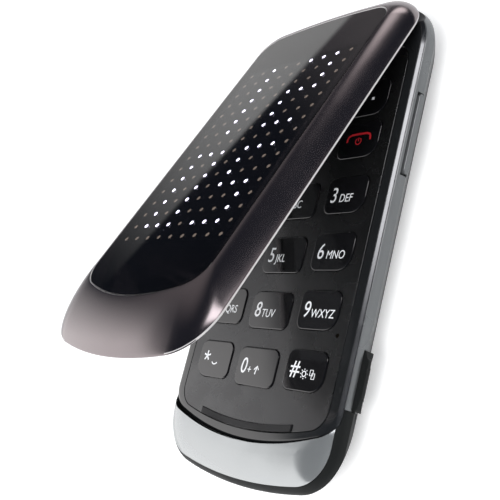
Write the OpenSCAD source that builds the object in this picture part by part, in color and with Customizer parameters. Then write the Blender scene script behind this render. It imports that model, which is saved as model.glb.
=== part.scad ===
// Flip phone, lying on its back with the lid part open.
// Frame: X to the right, Y towards the hinge, Z up; the origin is the middle of the back face.
// Lid pieces are drawn where they lie with the lid shut, then turned about the hinge axis.

/* [Outline] */
// Width of the base at its widest
body_w = 52.8; // [52:0.1:56]
// Length from the chin to the hinge end
body_l = 108.3; // [107:0.1:112]
// Height of the widest line of the side wall
wide_z = 6.5; // [6:0.1:6.8]
// How far the side wall comes in from the widest line to the back
back_round = 5.1; // [4:0.1:5.4]
// Form of the side wall under its widest line, from 1 for straight to 2 for round
side_bend = 1.1; // [1:0.05:1.5]
// How much faster the wall comes in under the chin than at the sides
chin_lean = 2; // [1:0.1:2.1]
// How far the side wall leans in at the seam under the bezel
seam_in = 0.5; // [0.3:0.05:0.8]
// Corner radius at the hinge end
hinge_corner = 11.8; // [10:0.1:13]
// Radius of the bowed hinge end
hinge_bow = 60; // [50:1:90]
// Corner radius at the chin
chin_corner = 10.5; // [8:0.5:11.5]
// Radius of the bowed chin
chin_bow = 96; // [85:1:140]

/* [Walls] */
// Wall of the housings
wall = 1.3; // [1:0.1:1.5]
// Height of the joint between rear and front housing
split_z = 3.6; // [3:0.1:3.8]
// Thickness of the battery cover
cover_t = 1; // [0.8:0.1:1.2]
// Thickness of the tray over the battery
tray_t = 0.6; // [0.5:0.05:0.8]
// Gap left between pieces that lie side by side
gap = 0.1; // [0.08:0.01:0.12]
// Distance from the hinge axis to the battery cover's upper edge
cover_back = 39.5; // [38:0.5:41]

/* [Battery and boards] */
// Distance from the side of the base to the battery
bat_side = 8.4; // [8.3:0.1:11]
// Distance from the chin's end to the battery
bat_low = 15.65; // [15.5:0.05:18]
// Battery thickness
bat_t = 4; // [3.6:0.1:4.4]
// Thickness of the main board
board_t = 0.8; // [0.6:0.05:1]
// Thickness of the dome sheet
sheet_t = 0.15; // [0.1:0.01:0.2]
// Height of a dome
dome_h = 0.2; // [0.15:0.01:0.3]

/* [Keypad] */
// Thickness of the keypad panel
panel_t = 0.8; // [0.6:0.05:1]
// Width of the bezel beside the keypad panel
bezel_w = 3.55; // [3.3:0.05:4]
// Distance from the panel's lower edge to the chin's end
panel_low = 11.2; // [11.1:0.1:12.4]
// Distance from the panel's upper edge to the hinge axis
panel_high = 7; // [6.6:0.1:9]
// Travel of a key
travel = 0.35; // [0.25:0.05:0.45]
// How far a key stands proud of the panel
key_proud = 0.25; // [0.1:0.05:0.3]
// Gap between two rows of keys
row_gap = 4.25; // [3.6:0.05:4.8]
// Width of the keys in the middle column
mid_w = 12.4; // [11.5:0.1:13]
// Gap between two columns of keys
col_gap = 2.6; // [2.2:0.1:3]
// Distance from the panel's side to the keys
key_side = 2.95; // [2.6:0.05:3.6]
// Distance from the chin's end to the middle of the lowest row
keys_low = 23.95; // [23.8:0.05:24.8]
// Distance from the hinge axis to the middle of the soft keys
keys_high = 19.85; // [19.7:0.05:20.6]
// How much higher the outer keys of a row sit
smile = 0.55; // [0:0.05:1]
// Corner radius of a key
key_r = 1.8; // [1:0.1:2.5]
// Larger radius at the outer lower corner of a key
key_big_r = 3.4; // [2:0.1:3.8]
// Width of the flange that holds a key under the panel
flange = 0.35; // [0.25:0.05:0.4]
// Gap round a key in its window
key_gap = 0.12; // [0.1:0.01:0.15]
// Gap round a key's flange in the deck
well_gap = 0.15; // [0.1:0.01:0.2]
// Gap between the call keys and the soft keys
soft_gap = 1.5; // [1.3:0.05:1.8]
// Radius of the navigation ring
nav_r = 8.1; // [7.5:0.1:8.3]
// Radius of the key inside the ring
ok_r = 3.9; // [3:0.1:4.2]

/* [Chin] */
// Distance from the chin's end to the lid's edge line
chin_len = 8.65; // [8:0.05:8.8]
// Height of the chin's ridge above the keypad panel
chin_rise = 0.95; // [0.6:0.05:1.05]
// Distance along the side that the chin's flanks reach from its end
flank_len = 18.55; // [17:0.05:20.5]
// How far in from the outline the bright cap ends
cap_in = 1.2; // [0.9:0.1:1.6]
// Wall of the chin cap
cap_t = 0.9; // [0.7:0.1:1.1]

/* [Hinge] */
// Distance from the hinge axis to the hinge end
hinge_back = 5.5; // [5.3:0.05:6]
// Height of the hinge axis above the keypad panel
hinge_up = 1.25; // [1.1:0.05:1.4]
// Radius of the lid's rounded hinge end
hood_r = 3; // [2.9:0.05:3.1]
// Wall of the hood over the base's barrel, window included
hood_t = 0.85; // [0.8:0.05:0.95]
// Length of a lid knuckle
knuckle_l = 4.9; // [4:0.1:5.5]
// Radius of the hinge pins
pin_r = 1.3; // [1.1:0.05:1.4]
// Radial clearance of the pins in the lid's knuckles
pin_fit = 0.05; // [0.03:0.01:0.08]
// Clearance between the hood and the base
hinge_gap = 0.2; // [0.15:0.01:0.25]
// How far the lid stands open
lid_open = 22.5; // [0:0.5:120]

/* [Lid] */
// How far the lid's side lies in from the side of the base
lid_in = 0.9; // [0.7:0.05:1.1]
// Form of the lid's shoulders, from 1 for round to 2 for straight
lid_bend = 1.45; // [1:0.05:1.6]
// Corner radius of the lid at its rim, hinge end
lid_corner = 9; // [8.5:0.1:10]
// Width of the shoulder beside the lid's window
shoulder = 5.7; // [5.5:0.1:6.4]
// Length of the slope at the lid's free end
tip_slope = 11.2; // [10:0.1:12]
// Gap between the free end of the lid and the chin
tip_gap = 1.35; // [1.2:0.05:1.4]
// Height of the lid's rim above the keypad panel
rim_up = 0.2; // [0.2:0.05:0.4]
// Wall of the lid's shell
lid_wall = 1.1; // [0.9:0.05:1.2]
// Thickness of the lid's window
window_t = 0.6; // [0.5:0.05:0.65]
// Corner radius of the lid at its rim, free end
tip_corner = 10.5; // [8:0.5:11]
// Thickness of the inner cover
inner_t = 0.8; // [0.6:0.05:0.9]
// Gap between the inner cover and the keys with the lid shut
shut_gap = 0.3; // [0.25:0.01:0.35]
// Thickness of the display module
display_t = 1.4; // [1.1:0.05:1.5]
// Distance from the lid's side to the display
display_side = 6.4; // [6.3:0.1:7.5]
// Distance from the lid's free end to the display
display_low = 16.2; // [15:0.1:18]
// Length of the display module
display_l = 53; // [50:0.5:56]
// Thickness of the lamp board
lamp_board_t = 0.25; // [0.2:0.01:0.3]

/* [Lamps] */
// Columns of lamps
lamp_cols = 9; // [5:1:9]
// Rows of lamps
lamp_rows = 16; // [9:1:16]
// Distance from column to column
lamp_px = 3.95; // [3:0.05:4.1]
// Distance from row to row
lamp_py = 3.44; // [3:0.02:3.6]
// Radius of a lamp
lamp_r = 0.5; // [0.3:0.05:0.7]
// Distance from the hinge axis to the middle of the lamps
lamp_back = 40.85; // [40:0.05:42]

/* [Side keys and sockets] */
// Length of the volume key
vol_l = 18; // [14:0.5:20]
// Height of the volume key
vol_h = 1.7; // [1.4:0.1:2]
// Distance from the hinge axis to the middle of the volume key
vol_back = 28.05; // [27:0.05:29]
// How far the volume key stands out
vol_out = 0.45; // [0.3:0.05:0.6]
// Distance from the chin's flank to the middle of the charging socket
usb_up = 5.5; // [5.3:0.1:6]
// Width of the charging socket
usb_w = 7.4; // [7:0.1:7.6]
// Height of the charging socket
usb_h = 2.7; // [2.5:0.1:2.9]
// Depth of the charging socket
usb_d = 5.2; // [4.6:0.1:5.4]
// Length of the socket's cover
flap_l = 11.5; // [11:0.1:12.5]
// How far the socket's cover stands out
flap_out = 1.5; // [1:0.1:2]
// How far that cover's face leans in at its lower edge
flap_lean = 2; // [1:0.1:2.2]
// Radius of the headset jack
jack_r = 1.8; // [1.75:0.01:1.85]
// Depth of the headset jack
jack_d = 12.5; // [11:0.5:13]
// Distance from the hinge axis to the headset jack
jack_back = 16; // [15:0.5:18]

/* [Back] */
// Radius of the camera's window
cam_r = 3.4; // [3:0.1:4]
// Place of the camera across the back
cam_x = 2.5; // [1:0.1:4]
// Loudspeaker size across
speaker_w = 13; // [11:0.5:14]
// Loudspeaker size along
speaker_l = 9.6; // [8:0.2:10]
// Radius of the vibration motor
motor_r = 4; // [3.5:0.1:4.2]
// Radius of a housing screw's shank
screw_r = 0.6; // [0.5:0.05:0.7]

/* [Hidden] */

$fn = 48;
eps = 0.01;
big = 200;

// Widths
bat_w = body_w - 2 * bat_side;
panel_w = body_w - 2 * bezel_w;
lid_w = body_w - 2 * lid_in;
window_w = lid_w - 2 * shoulder;
display_w = lid_w - 2 * display_side;
outer_w = panel_w / 2 - key_side - mid_w / 2 - col_gap;
col_pitch = (mid_w + outer_w) / 2 + col_gap;

// Heights, from the back up
bat_z = cover_t + gap;
tray_z = bat_z + bat_t + 4 * gap;
board_z = tray_z + tray_t + gap;
sheet_z = board_z + board_t;
deck_z = sheet_z + sheet_t + gap / 2;
nub_z = sheet_z + sheet_t + dome_h + travel + gap / 2;
nub_h = 0.4;
flange_t = 0.5;
flange_z = nub_z + nub_h;
seam_z = flange_z + flange_t + gap / 2;
panel_z = seam_z + panel_t;
key_top = panel_z + key_proud;

// Hinge and lid
hinge_y = body_l / 2 - hinge_back;
hinge_z = panel_z + hinge_up;
lid_top = hinge_z + hood_r;
rim_z = panel_z + rim_up;
lid_h = lid_top - rim_z;
tip_y = -body_l / 2 + chin_len + tip_gap;
inner_z = key_top + shut_gap;
display_z = inner_z + inner_t;
lamp_board_z = display_z + display_t + gap / 2;
cavity_z = lamp_board_z + lamp_board_t;
window_z = lid_top - window_t;
cavity_h = cavity_z - rim_z;
cut_r = hood_r + hinge_gap;
knuckle_cap = 0.4;
knuckle_end = lid_w / 2 - lid_corner;
mouth_w = knuckle_end - knuckle_l;
knuckle_up = 0.3;
barrel_x = mouth_w - hinge_gap;

// Places along the phone
cover_y = hinge_y - cover_back;
contact_room = 3.4;
bat_high = cover_y - contact_room;
bat_l = bat_high + body_l / 2 - bat_low;
bat_y = bat_high - bat_l / 2;
vol_y = hinge_y - vol_back;
display_y = tip_y + display_low + display_l / 2;

// Points of the rings that the outer shapes are lofted through
corner_n = 9;
bow_n = 5;
ring_n = 7;
rise_n = 3;

// ---------- outlines and lofts ----------

function arc(c, r, a, b, n) =
    [for (i = [0:n]) let (t = a + (b - a) * i / n) [c[0] + r * cos(t), c[1] + r * sin(t)]];

// One end of an outline, from its side to its middle: a corner arc that runs into a bowed end
function end_points(w, y, corner, bow) =
    let (cx = w - corner, cy = y - bow + sqrt(pow(bow - corner, 2) - cx * cx),
         a = atan2(cy - y + bow, cx), middle = arc([0, y - bow], bow, a, 90, bow_n))
    concat(arc([cx, cy], corner, 0, a, corner_n), [for (i = [1:bow_n]) middle[i]]);

// A closed outline of half width w, from y_low to y_high
function outline(w, y_high, corner_high, bow_high, y_low, corner_low, bow_low) =
    let (h = end_points(w, y_high, corner_high, bow_high), l = end_points(w, -y_low, corner_low, bow_low),
         n = len(h) - 1)
    concat(h, [for (i = [n - 1:-1:0]) [-h[i][0], h[i][1]]],
        [for (p = l) [-p[0], -p[1]]], [for (i = [n - 1:-1:0]) [l[i][0], -l[i][1]]]);

// Solid through rings of equal point counts, each ring being [height, outline]
module loft(rings) {
    n = len(rings[0][1]);
    m = len(rings) - 1;
    polyhedron(
        points = [for (r = rings) for (p = r[1]) [p[0], p[1], r[0]]],
        faces = concat(
            [[for (j = [0:n - 1]) j]],
            [for (i = [0:m - 1]) for (j = [0:n - 1])
                [i * n + j, (i + 1) * n + j, (i + 1) * n + (j + 1) % n, i * n + (j + 1) % n]],
            [[for (j = [n - 1:-1:0]) m * n + j]]));
}

// How far the side wall is in from the widest line at height z
function side_in(z) =
    z < wide_z ? back_round * (1 - pow(max(0, 1 - pow((wide_z - z) / wide_z, side_bend)), 1 / side_bend))
               : seam_in * pow((z - wide_z) / (seam_z - wide_z), 2);

// Outline of the base at height z, a distance in from its outside
function base_outline(z, in) =
    let (lean = side_in(z), all = lean + in)
    outline(body_w / 2 - all, body_l / 2 - all, hinge_corner - all, hinge_bow - all,
        -body_l / 2 + chin_lean * lean + in, max(1, chin_corner - all), chin_bow - all);

// Heights from z0 to z1 with the widest line among them
function base_heights(z0, z1) =
    let (wide = min(max(wide_z, z0), z1))
    concat([for (i = [0:ring_n - 1]) if (wide > z0) z0 + (wide - z0) * i / ring_n], [wide],
        [for (i = [1:rise_n]) if (z1 > wide) wide + (z1 - wide) * i / rise_n]);

module base_loft(z0, z1, in) {
    loft([for (z = base_heights(z0, z1)) [z, base_outline(z, in)]]);
}

module slab(z0, z1, points) {
    translate([0, 0, z0]) linear_extrude(z1 - z0) polygon(points);
}

module box(x0, x1, y0, y1, z0, z1) {
    translate([x0, y0, z0]) cube([x1 - x0, y1 - y0, z1 - z0]);
}

// Block of width w and length l about the point x, y
module block(x, y, w, l, z0, z1) {
    box(x - w / 2, x + w / 2, y - l / 2, y + l / 2, z0, z1);
}

module x_rod(r, x0, x1, y, z) {
    translate([x0, y, z]) rotate([0, 90, 0]) cylinder(r = r, h = x1 - x0);
}

module both_sides() {
    children();
    mirror([1, 0, 0]) children();
}

// Turns lid pieces from shut to open
module on_lid() {
    translate([0, hinge_y, hinge_z]) rotate([-lid_open, 0, 0]) translate([0, -hinge_y, -hinge_z]) children();
}

// ---------- chin, bezel and panel outlines ----------

chin_y = -body_l / 2 + chin_len;
flank_y = -body_l / 2 + flank_len;
chin_edge_corner = 5.5;
chin_edge_bow = 68;
deck_in = wall - gap;
deck_lap = 0.7;
panel_corner = 4.7;
panel_bow_high = 220;
panel_bow_low = 80;

// Line between the bezel and the chin, a distance in from it
function chin_line(in) =
    outline(body_w / 2 - seam_in + gap / 2 - in, body_l / 2, hinge_corner, hinge_bow,
        chin_y + in, max(1, chin_edge_corner - in), chin_edge_bow - in);

// Outline of the deck that carries the keypad
function deck_outline(in) =
    outline(body_w / 2 - side_in(deck_z) - deck_in - in, body_l / 2 - deck_in - in,
        hinge_corner - deck_in - in, hinge_bow - deck_in - in,
        chin_y + deck_lap + in, chin_edge_corner - in, chin_edge_bow - in);

function panel_outline(in) =
    outline(panel_w / 2 - in, hinge_y - panel_high - in, panel_corner - in, panel_bow_high,
        -body_l / 2 + panel_low + in, panel_corner - in, panel_bow_low);

// Ring of the chin's rounded outside at angle t up from the widest line
chin_top_in = 4.8;
chin_top_len = 8.5;
chin_top_corner = 5.8;
function chin_ring(t) =
    let (in = chin_top_in * (1 - cos(t)))
    [wide_z + (panel_z + chin_rise - wide_z) * sin(t),
     outline(body_w / 2 - in, body_l / 2, hinge_corner, hinge_bow, -body_l / 2 + chin_top_len * (1 - cos(t)),
        chin_corner + (chin_top_corner - chin_corner) * (1 - cos(t)), chin_bow - in)];

module chin_form(drop) {
    difference() {
        loft([for (i = [0:ring_n + 2]) let (r = chin_ring(90 * i / (ring_n + 2))) [r[0] - drop, r[1]]]);
        slab(seam_z - gap, big, chin_line(0));
        slab(-big, seam_z, deck_outline(-gap));
        box(-big, big, flank_y - gap, big, -big, big);
    }
}

// ---------- keys ----------

rows_n = 4;
row_y = keys_low - body_l / 2;
row_pitch = (hinge_y - keys_high - row_y + row_gap - soft_gap) / (rows_n + 1);
key_h = row_pitch - row_gap;
soft_pitch = key_h + soft_gap;
function key_y(column, row) =
    (row <= rows_n ? row_y + row * row_pitch : row_y + rows_n * row_pitch + soft_pitch)
    + smile * abs(column);
function key_width(column) = column == 0 ? mid_w : outer_w;

module key_outline(column, grow) {
    w = key_width(column) / 2 + grow;
    h = key_h / 2 + grow;
    r = key_r + grow;
    low_l = column < 0 ? key_big_r + grow : r;
    low_r = column > 0 ? key_big_r + grow : r;
    corners = [[w, h, r, -1, -1], [-w, h, r, 1, -1], [-w, -h, low_l, 1, 1], [w, -h, low_r, -1, 1]];
    polygon([for (c = corners) each let (x = c[0], y = c[1], s = c[2], dx = c[3], dy = c[4])
        (dx == dy ? [[x, y + dy * s], [x + dx * s, y]] : [[x + dx * s, y], [x, y + dy * s]])]);
    for (c = corners) translate([c[0] + c[3] * c[2], c[1] + c[4] * c[2]]) circle(r = c[2]);
}

module at_key(column, row) {
    translate([column * col_pitch, key_y(column, row)]) children();
}

// Column and row of each key
keys = [[-1, 0], [0, 0], [1, 0], [-1, 1], [0, 1], [1, 1], [-1, 2], [0, 2], [1, 2], [-1, 3], [0, 3], [1, 3],
    [-1, 4], [1, 4], [-1, 5], [1, 5]];

module each_key_hole(grow) {
    for (k = keys) at_key(k[0], k[1]) key_outline(k[0], grow);
}

nav_up = 0.9;
nav_y = row_y + rows_n * row_pitch + soft_pitch / 2 + nav_up;
nav_dome_r = 5.9;
nub_r = 1.2;
ring_gap = 0.15;
nav_swing = 0.25;

module key(column, row, tint) {
    color(tint) at_key(column, row) {
        translate([0, 0, flange_z]) linear_extrude(key_top - flange_z) key_outline(column, 0);
        translate([0, 0, flange_z]) linear_extrude(flange_t) key_outline(column, flange);
        translate([0, 0, nub_z]) cylinder(r = nub_r, h = nub_h);
    }
}

module nav_ring() {
    color("dimgray") translate([0, nav_y, 0]) {
        difference() {
            union() {
                translate([0, 0, flange_z]) cylinder(r = nav_r, h = key_top - flange_z);
                translate([0, 0, flange_z]) cylinder(r = nav_r + flange, h = flange_t - nav_swing);
            }
            translate([0, 0, flange_z - eps])
                cylinder(r = ok_r + flange + well_gap, h = flange_t + ring_gap + eps);
            cylinder(r = ok_r + ring_gap, h = big);
        }
        for (a = [0:90:270]) rotate(a) translate([nav_dome_r, 0, nub_z + dome_h])
            cylinder(r = nub_r, h = nub_h - dome_h + eps);
    }
}

module nav_ok() {
    color("silver") translate([0, nav_y, 0]) {
        translate([0, 0, flange_z]) cylinder(r = ok_r, h = key_top - flange_z);
        translate([0, 0, flange_z]) cylinder(r = ok_r + flange, h = flange_t - ring_gap);
        translate([0, 0, nub_z]) cylinder(r = nub_r, h = nub_h + eps);
    }
}

sheet_in = 0.8;
dome_r = 2;

module dome_sheet() {
    color("lightgray") {
        difference() {
            slab(sheet_z, sheet_z + sheet_t, panel_outline(sheet_in));
            at_posts() cylinder(r = screw_r + gap, h = big);
        }
        for (k = keys) at_key(k[0], k[1]) dome();
        translate([0, nav_y, 0]) {
            dome();
            for (a = [0:90:270]) rotate(a) translate([nav_dome_r, 0, 0]) dome();
        }
    }
}

module dome() {
    translate([0, 0, sheet_z + sheet_t - eps]) cylinder(r1 = dome_r, r2 = nub_r, h = dome_h + eps);
}

// ---------- front housing ----------

vol_z = seam_z - 1.6;
usb_z = board_z - 0.55;
usb_y = flank_y + usb_up;
usb_in = 1.6;
socket_x = body_w / 2 - usb_in;
mic_in = 2.15;
mic_up = 8.1;
mic_x = panel_w / 2 - mic_in;
mic_y = row_y + mic_up;
mic_r = 1.5;
mic_hole = 0.45;
post_r = 1.9;
post_in = 7;
post_back = 14;
post_x = body_w / 2 - post_in;
post_y = body_l / 2 - post_back;
thread_fit = 0.02;
screw_top = seam_z - 0.5;
groove_t = 0.8;
web_t = 1.4;
web_y = hinge_y - cut_r - web_t;
web_up = 0.4;
web_down = 0.6;
barrel_r = hood_r - hood_t - hinge_gap;
slot_w = 2;
slot_h = 0.4;
flex_y = web_y + web_t / 2;

module front_housing() {
    color("gray") {
        difference() {
            union() {
                difference() {
                    base_loft(split_z, seam_z, 0);
                    base_loft(split_z - eps, deck_z + eps, wall);
                    slab(deck_z, big, deck_outline(gap));
                    box(-big, big, -big, flank_y, -big, big);
                }
                slab(deck_z, seam_z, deck_outline(0));
                intersection() {
                    slab(deck_z - groove_t, deck_z + eps, deck_outline(0));
                    box(-big, big, web_y + web_t, big, -big, big);
                }
            }
            translate([0, 0, deck_z - eps]) linear_extrude(big) {
                each_key_hole(flange + well_gap);
                translate([0, nav_y]) circle(r = nav_r + flange + well_gap);
                translate([mic_x, mic_y]) circle(r = mic_r + gap);
            }
            hinge_groove();
            screw_holes();
            volume_hole();
            usb_hole();
            jack_hole();
            flex_way(0, slot_h);
        }
        difference() {
            union() {
                x_rod(barrel_r, -barrel_x, barrel_x, hinge_y, hinge_z);
                box(-barrel_x, barrel_x, web_y, hinge_y, hinge_z - web_down, hinge_z + web_up);
                box(-barrel_x, barrel_x, web_y, web_y + web_t, deck_z, hinge_z + web_up);
            }
            x_rod(pin_r, -big, big, hinge_y, hinge_z);
            flex_way(0, slot_h);
        }
    }
}

// Room for the lid's rounded end as it turns
module hinge_groove() {
    x_rod(cut_r, -big, big, hinge_y, hinge_z);
    box(-big, big, hinge_y, big, seam_z - hinge_gap, big);
}

module at_posts() {
    both_sides() for (y = [-post_y, post_y]) translate([post_x, y]) children();
}

module screw_holes() {
    at_posts() cylinder(r = screw_r + thread_fit, h = screw_top + gap);
}

// Window of the volume key and, inside the wall, room for its flange
module volume_hole() {
    vol_box(vol_x - vol_room, big, gap, gap);
    vol_box(vol_x - vol_room, vol_x + vol_swing, vol_lip_y + 2 * vol_play, vol_lip_z + vol_play);
}

module usb_hole() {
    usb_box(socket_x - usb_d, big, gap);
    flap_form(gap);
}

module jack_hole() {
    x_rod(jack_r + jack_wall + gap, -big, -jack_x, jack_y, jack_z);
}

// Way of the flex cable from the board up the web and into the barrel, with a gap round it
module flex_way(in, h) {
    box(-slot_w + in, slot_w - in, flex_y - h / 2, flex_y + h / 2, sheet_z + in, hinge_z + h / 2);
    box(-slot_w + in, slot_w - in, flex_y - h / 2, hinge_y, hinge_z - h / 2, hinge_z + h / 2);
}

// ---------- bezel and panel ----------

module keypad_bezel() {
    color([0.08, 0.08, 0.09]) difference() {
        loft([for (r = [[0, 0], [0.3, 0.12], [0.45, 0.45], [panel_t, 3.2]]) [seam_z + r[0],
            outline(body_w / 2 - seam_in - r[1], body_l / 2 - seam_in - r[1], hinge_corner - r[1], hinge_bow,
                chin_y + gap + 0.75 * r[1], max(1, chin_edge_corner - 0.3 * r[1]), chin_edge_bow)]]);
        slab(-big, big, panel_outline(-gap / 2));
        box(-big, big, hinge_y, big, -big, big);
        hinge_groove();
        box(-barrel_x - gap, barrel_x + gap, web_y - gap, big, -big, big);
    }
}

bar_w = 1.5;
bar_x = 14.3;
bar_deep = 0.4;
bar_proud = 0.35;

module bar_outline(in) {
    intersection() {
        difference() {
            polygon(panel_outline(in));
            translate([0, bar_w]) polygon(panel_outline(-in));
        }
        translate([-bar_x + in, -big]) square([2 * (bar_x - in), big]);
    }
}

module panel_bumper() {
    color([0.1, 0.1, 0.1]) translate([0, 0, panel_z - bar_deep]) linear_extrude(bar_deep + bar_proud)
        bar_outline(gap / 2);
}

module keypad_panel() {
    color([0.25, 0.25, 0.26]) difference() {
        slab(seam_z, panel_z, panel_outline(0));
        translate([0, 0, -eps]) linear_extrude(big) {
            each_key_hole(key_gap);
            translate([0, nav_y]) circle(r = nav_r + key_gap);
            translate([mic_x, mic_y]) circle(r = mic_hole);
        }
        translate([0, 0, panel_z - bar_deep]) linear_extrude(big) bar_outline(0);
    }
}

module microphone() {
    color("gold") translate([mic_x, mic_y, sheet_z + sheet_t + gap / 2])
        cylinder(r = mic_r, h = seam_z - sheet_z - sheet_t - gap);
}

// ---------- chin ----------

shelf_z = seam_z - 1.9;
shelf_t = 0.6;

module cap_room(in, z) {
    slab(z, big, outline(body_w / 2 - cap_in - in, body_l / 2, hinge_corner, hinge_bow,
        -body_l / 2 + cap_in + in, chin_corner - cap_in, chin_bow));
}

module chin_housing() {
    color("gray") difference() {
        union() {
            chin_form(0);
            difference() {
                base_loft(split_z, wide_z + eps, 0);
                slab(-big, big, deck_outline(-gap));
                box(-big, big, flank_y - gap, big, -big, big);
            }
        }
        cap_room(0, shelf_z + shelf_t);
        base_loft(split_z - eps, shelf_z, wall);
    }
}

module chin_cap() {
    color("white") difference() {
        intersection() {
            chin_form(0);
            cap_room(gap / 2, shelf_z + shelf_t);
        }
        intersection() {
            chin_form(cap_t);
            cap_room(cap_t, -big);
            slab(-big, big, [[-big, chin_y - cap_t], [-big, -big], [big, -big], [big, chin_y - cap_t]]);
        }
    }
}

antenna_l = 30;
antenna_w = 3.2;
antenna_t = 0.3;
antenna_y = chin_y - cap_t - 0.5;

module antenna() {
    color("goldenrod") box(-antenna_l / 2, antenna_l / 2, antenna_y - antenna_w, antenna_y,
        shelf_z + shelf_t, shelf_z + shelf_t + antenna_t);
}

// ---------- rear housing, cover and battery ----------

well_t = 0.8;
contact_l = 1.8;
contact_w = 1.2;
contact_px = 3;
contact_up = 0.8;
tab_l = 2.2;
tab_x = 12;
tab_w = 5;
tab_t = 0.7;
skin = cover_t + gap;

// Room for the battery and its contacts, grown on all four sides
module well(grow, z0, z1) {
    block(0, bat_y + contact_l / 2, bat_w + 2 * (gap + grow), bat_l + contact_l + 2 * (gap + grow), z0, z1);
}

module rear_housing() {
    color([0.3, 0.3, 0.32]) difference() {
        union() {
            difference() {
                union() {
                    intersection() {
                        base_loft(0, split_z - gap / 2, 0);
                        box(-big, big, cover_y, big, -big, big);
                    }
                    intersection() {
                        base_loft(skin, split_z - gap / 2, skin);
                        box(-big, big, -big, cover_y + eps, -big, big);
                    }
                }
                intersection() {
                    base_loft(wall, split_z + eps, wall);
                    box(-big, big, cover_y + wall, big, -big, big);
                }
                intersection() {
                    base_loft(skin + wall, split_z + eps, skin + wall);
                    box(-big, big, -big, cover_y - wall / 2, -big, big);
                }
            }
            well(well_t, skin, tray_z + tray_t);
            intersection() {
                at_posts() translate([0, 0, skin]) cylinder(r = post_r, h = board_z - skin);
                base_loft(skin, board_z + eps, skin);
            }
        }
        well(0, -1, tray_z);
        at_posts() {
            cylinder(r = screw_r + gap, h = big);
            cylinder(r = head_r + gap, h = head_z + head_h);
        }
        translate([cam_x, cam_y, -1]) cylinder(r = cam_r + gap / 2, h = big);
        for (i = [-2:2]) block(speaker_x, speaker_y + i * slit_py, slit_l, slit_w, -1, wall + 1);
        both_sides() block(tab_x, cover_y, tab_w + 2 * gap, 2 * (tab_l + gap), cover_t - tab_t - gap, skin);
        jack_hole();
    }
}

head_r = 1.4;
head_h = 0.7;
head_z = skin + 0.3;

module housing_screws() {
    color("silver") at_posts() translate([0, 0, head_z]) difference() {
        union() {
            cylinder(r = head_r, h = head_h);
            cylinder(r = screw_r, h = screw_top - head_z);
        }
        translate([0, 0, -eps]) cylinder(r = head_r / 2, h = head_h / 2, $fn = 6);
    }
}

module battery_cover() {
    color([0.2, 0.2, 0.22]) difference() {
        union() {
            intersection() {
                base_loft(0, split_z - gap, 0);
                box(-big, big, -big, cover_y - gap, -big, big);
            }
            both_sides() block(tab_x, cover_y, tab_w, 2 * tab_l, cover_t - tab_t, cover_t);
        }
        base_loft(cover_t, split_z + eps, cover_t);
    }
}

module battery() {
    color([0.35, 0.37, 0.4]) block(0, bat_y, bat_w, bat_l, bat_z, bat_z + bat_t);
}

module battery_contacts() {
    color("gold") for (i = [-1:1])
        block(i * contact_px, bat_y + (bat_l + contact_l + gap) / 2, contact_w, contact_l,
            bat_z + contact_up, tray_z);
}

sim_w = 15;
sim_l = 20;
sim_t = 0.3;
sim_x = 4;
sim_y = bat_y + 6;

module sim_holder() {
    color("silver") block(sim_x, sim_y, sim_w, sim_l, tray_z - sim_t, tray_z);
}

// ---------- boards and what they carry ----------

board_gap = 0.5;
board_corner = 8;

module main_board() {
    color("darkgreen") difference() {
        slab(board_z, sheet_z, outline(body_w / 2 - 2 * wall, hinge_y - cut_r, board_corner, hinge_bow,
            chin_y + deck_lap + gap, board_corner, chin_edge_bow));
        at_posts() cylinder(r = screw_r + gap, h = big);
        box(socket_x - usb_d - board_gap, big, usb_y - usb_w / 2 - board_gap, usb_y + usb_w / 2 + board_gap,
            -big, big);
        vol_box(vol_x - vol_room, big, 2 * board_gap, big);
    }
}

can_h = 1.6;

can_in = 5.6;
can_gap = 3;
can_y = cover_y + 4;

module shield_cans() {
    color("silver") {
        box(can_gap, body_w / 2 - can_in, can_y, cam_y - cam_s / 2 - can_gap, board_z - can_h, board_z);
        box(can_in - body_w / 2, 0, can_y, jack_y - jack_r - jack_wall - can_gap, board_z - can_h, board_z);
    }
}

cam_back = 7.5;
cam_y = hinge_y - cam_back;
cam_s = 8.4;
cam_low = 2.6;
cam_glass_t = 0.7;
cam_glass_z = 0.05;

module camera_module() {
    color([0.15, 0.15, 0.16]) difference() {
        union() {
            block(cam_x, cam_y, cam_s, cam_s, cam_low, board_z);
            translate([cam_x, cam_y, cam_glass_z + cam_glass_t]) cylinder(r = cam_r - gap, h = cam_low);
        }
        translate([cam_x, cam_y, 0]) cylinder(r1 = cam_r * 0.8, r2 = cam_r * 0.3, h = cam_low);
    }
}

module camera_window() {
    color([0.1, 0.1, 0.12]) translate([cam_x, cam_y, cam_glass_z]) cylinder(r = cam_r, h = cam_glass_t);
}

// Distance from the hinge axis to the loudspeaker and the motor
round_back = 7.3;
speaker_in = 9.1;
speaker_x = speaker_in + speaker_w / 2 - body_w / 2;
speaker_y = hinge_y - round_back;
slit_l = 8;
slit_w = 0.7;
slit_py = 1.5;

module loudspeaker() {
    color([0.2, 0.2, 0.2]) block(speaker_x, speaker_y, speaker_w, speaker_l, wall, board_z);
}

motor_in = 13.4;
motor_x = body_w / 2 - motor_in;
motor_y = hinge_y - round_back;
motor_h = 3;

module vibration_motor() {
    color("silver") translate([motor_x, motor_y, board_z - motor_h]) cylinder(r = motor_r, h = motor_h);
}

jack_wall = 0.5;
jack_y = hinge_y - jack_back;
jack_z = board_z - jack_r - jack_wall;
nose_x = body_w / 2 - side_in(jack_z - jack_r - jack_wall) - gap;
jack_x = nose_x - wall;

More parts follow.
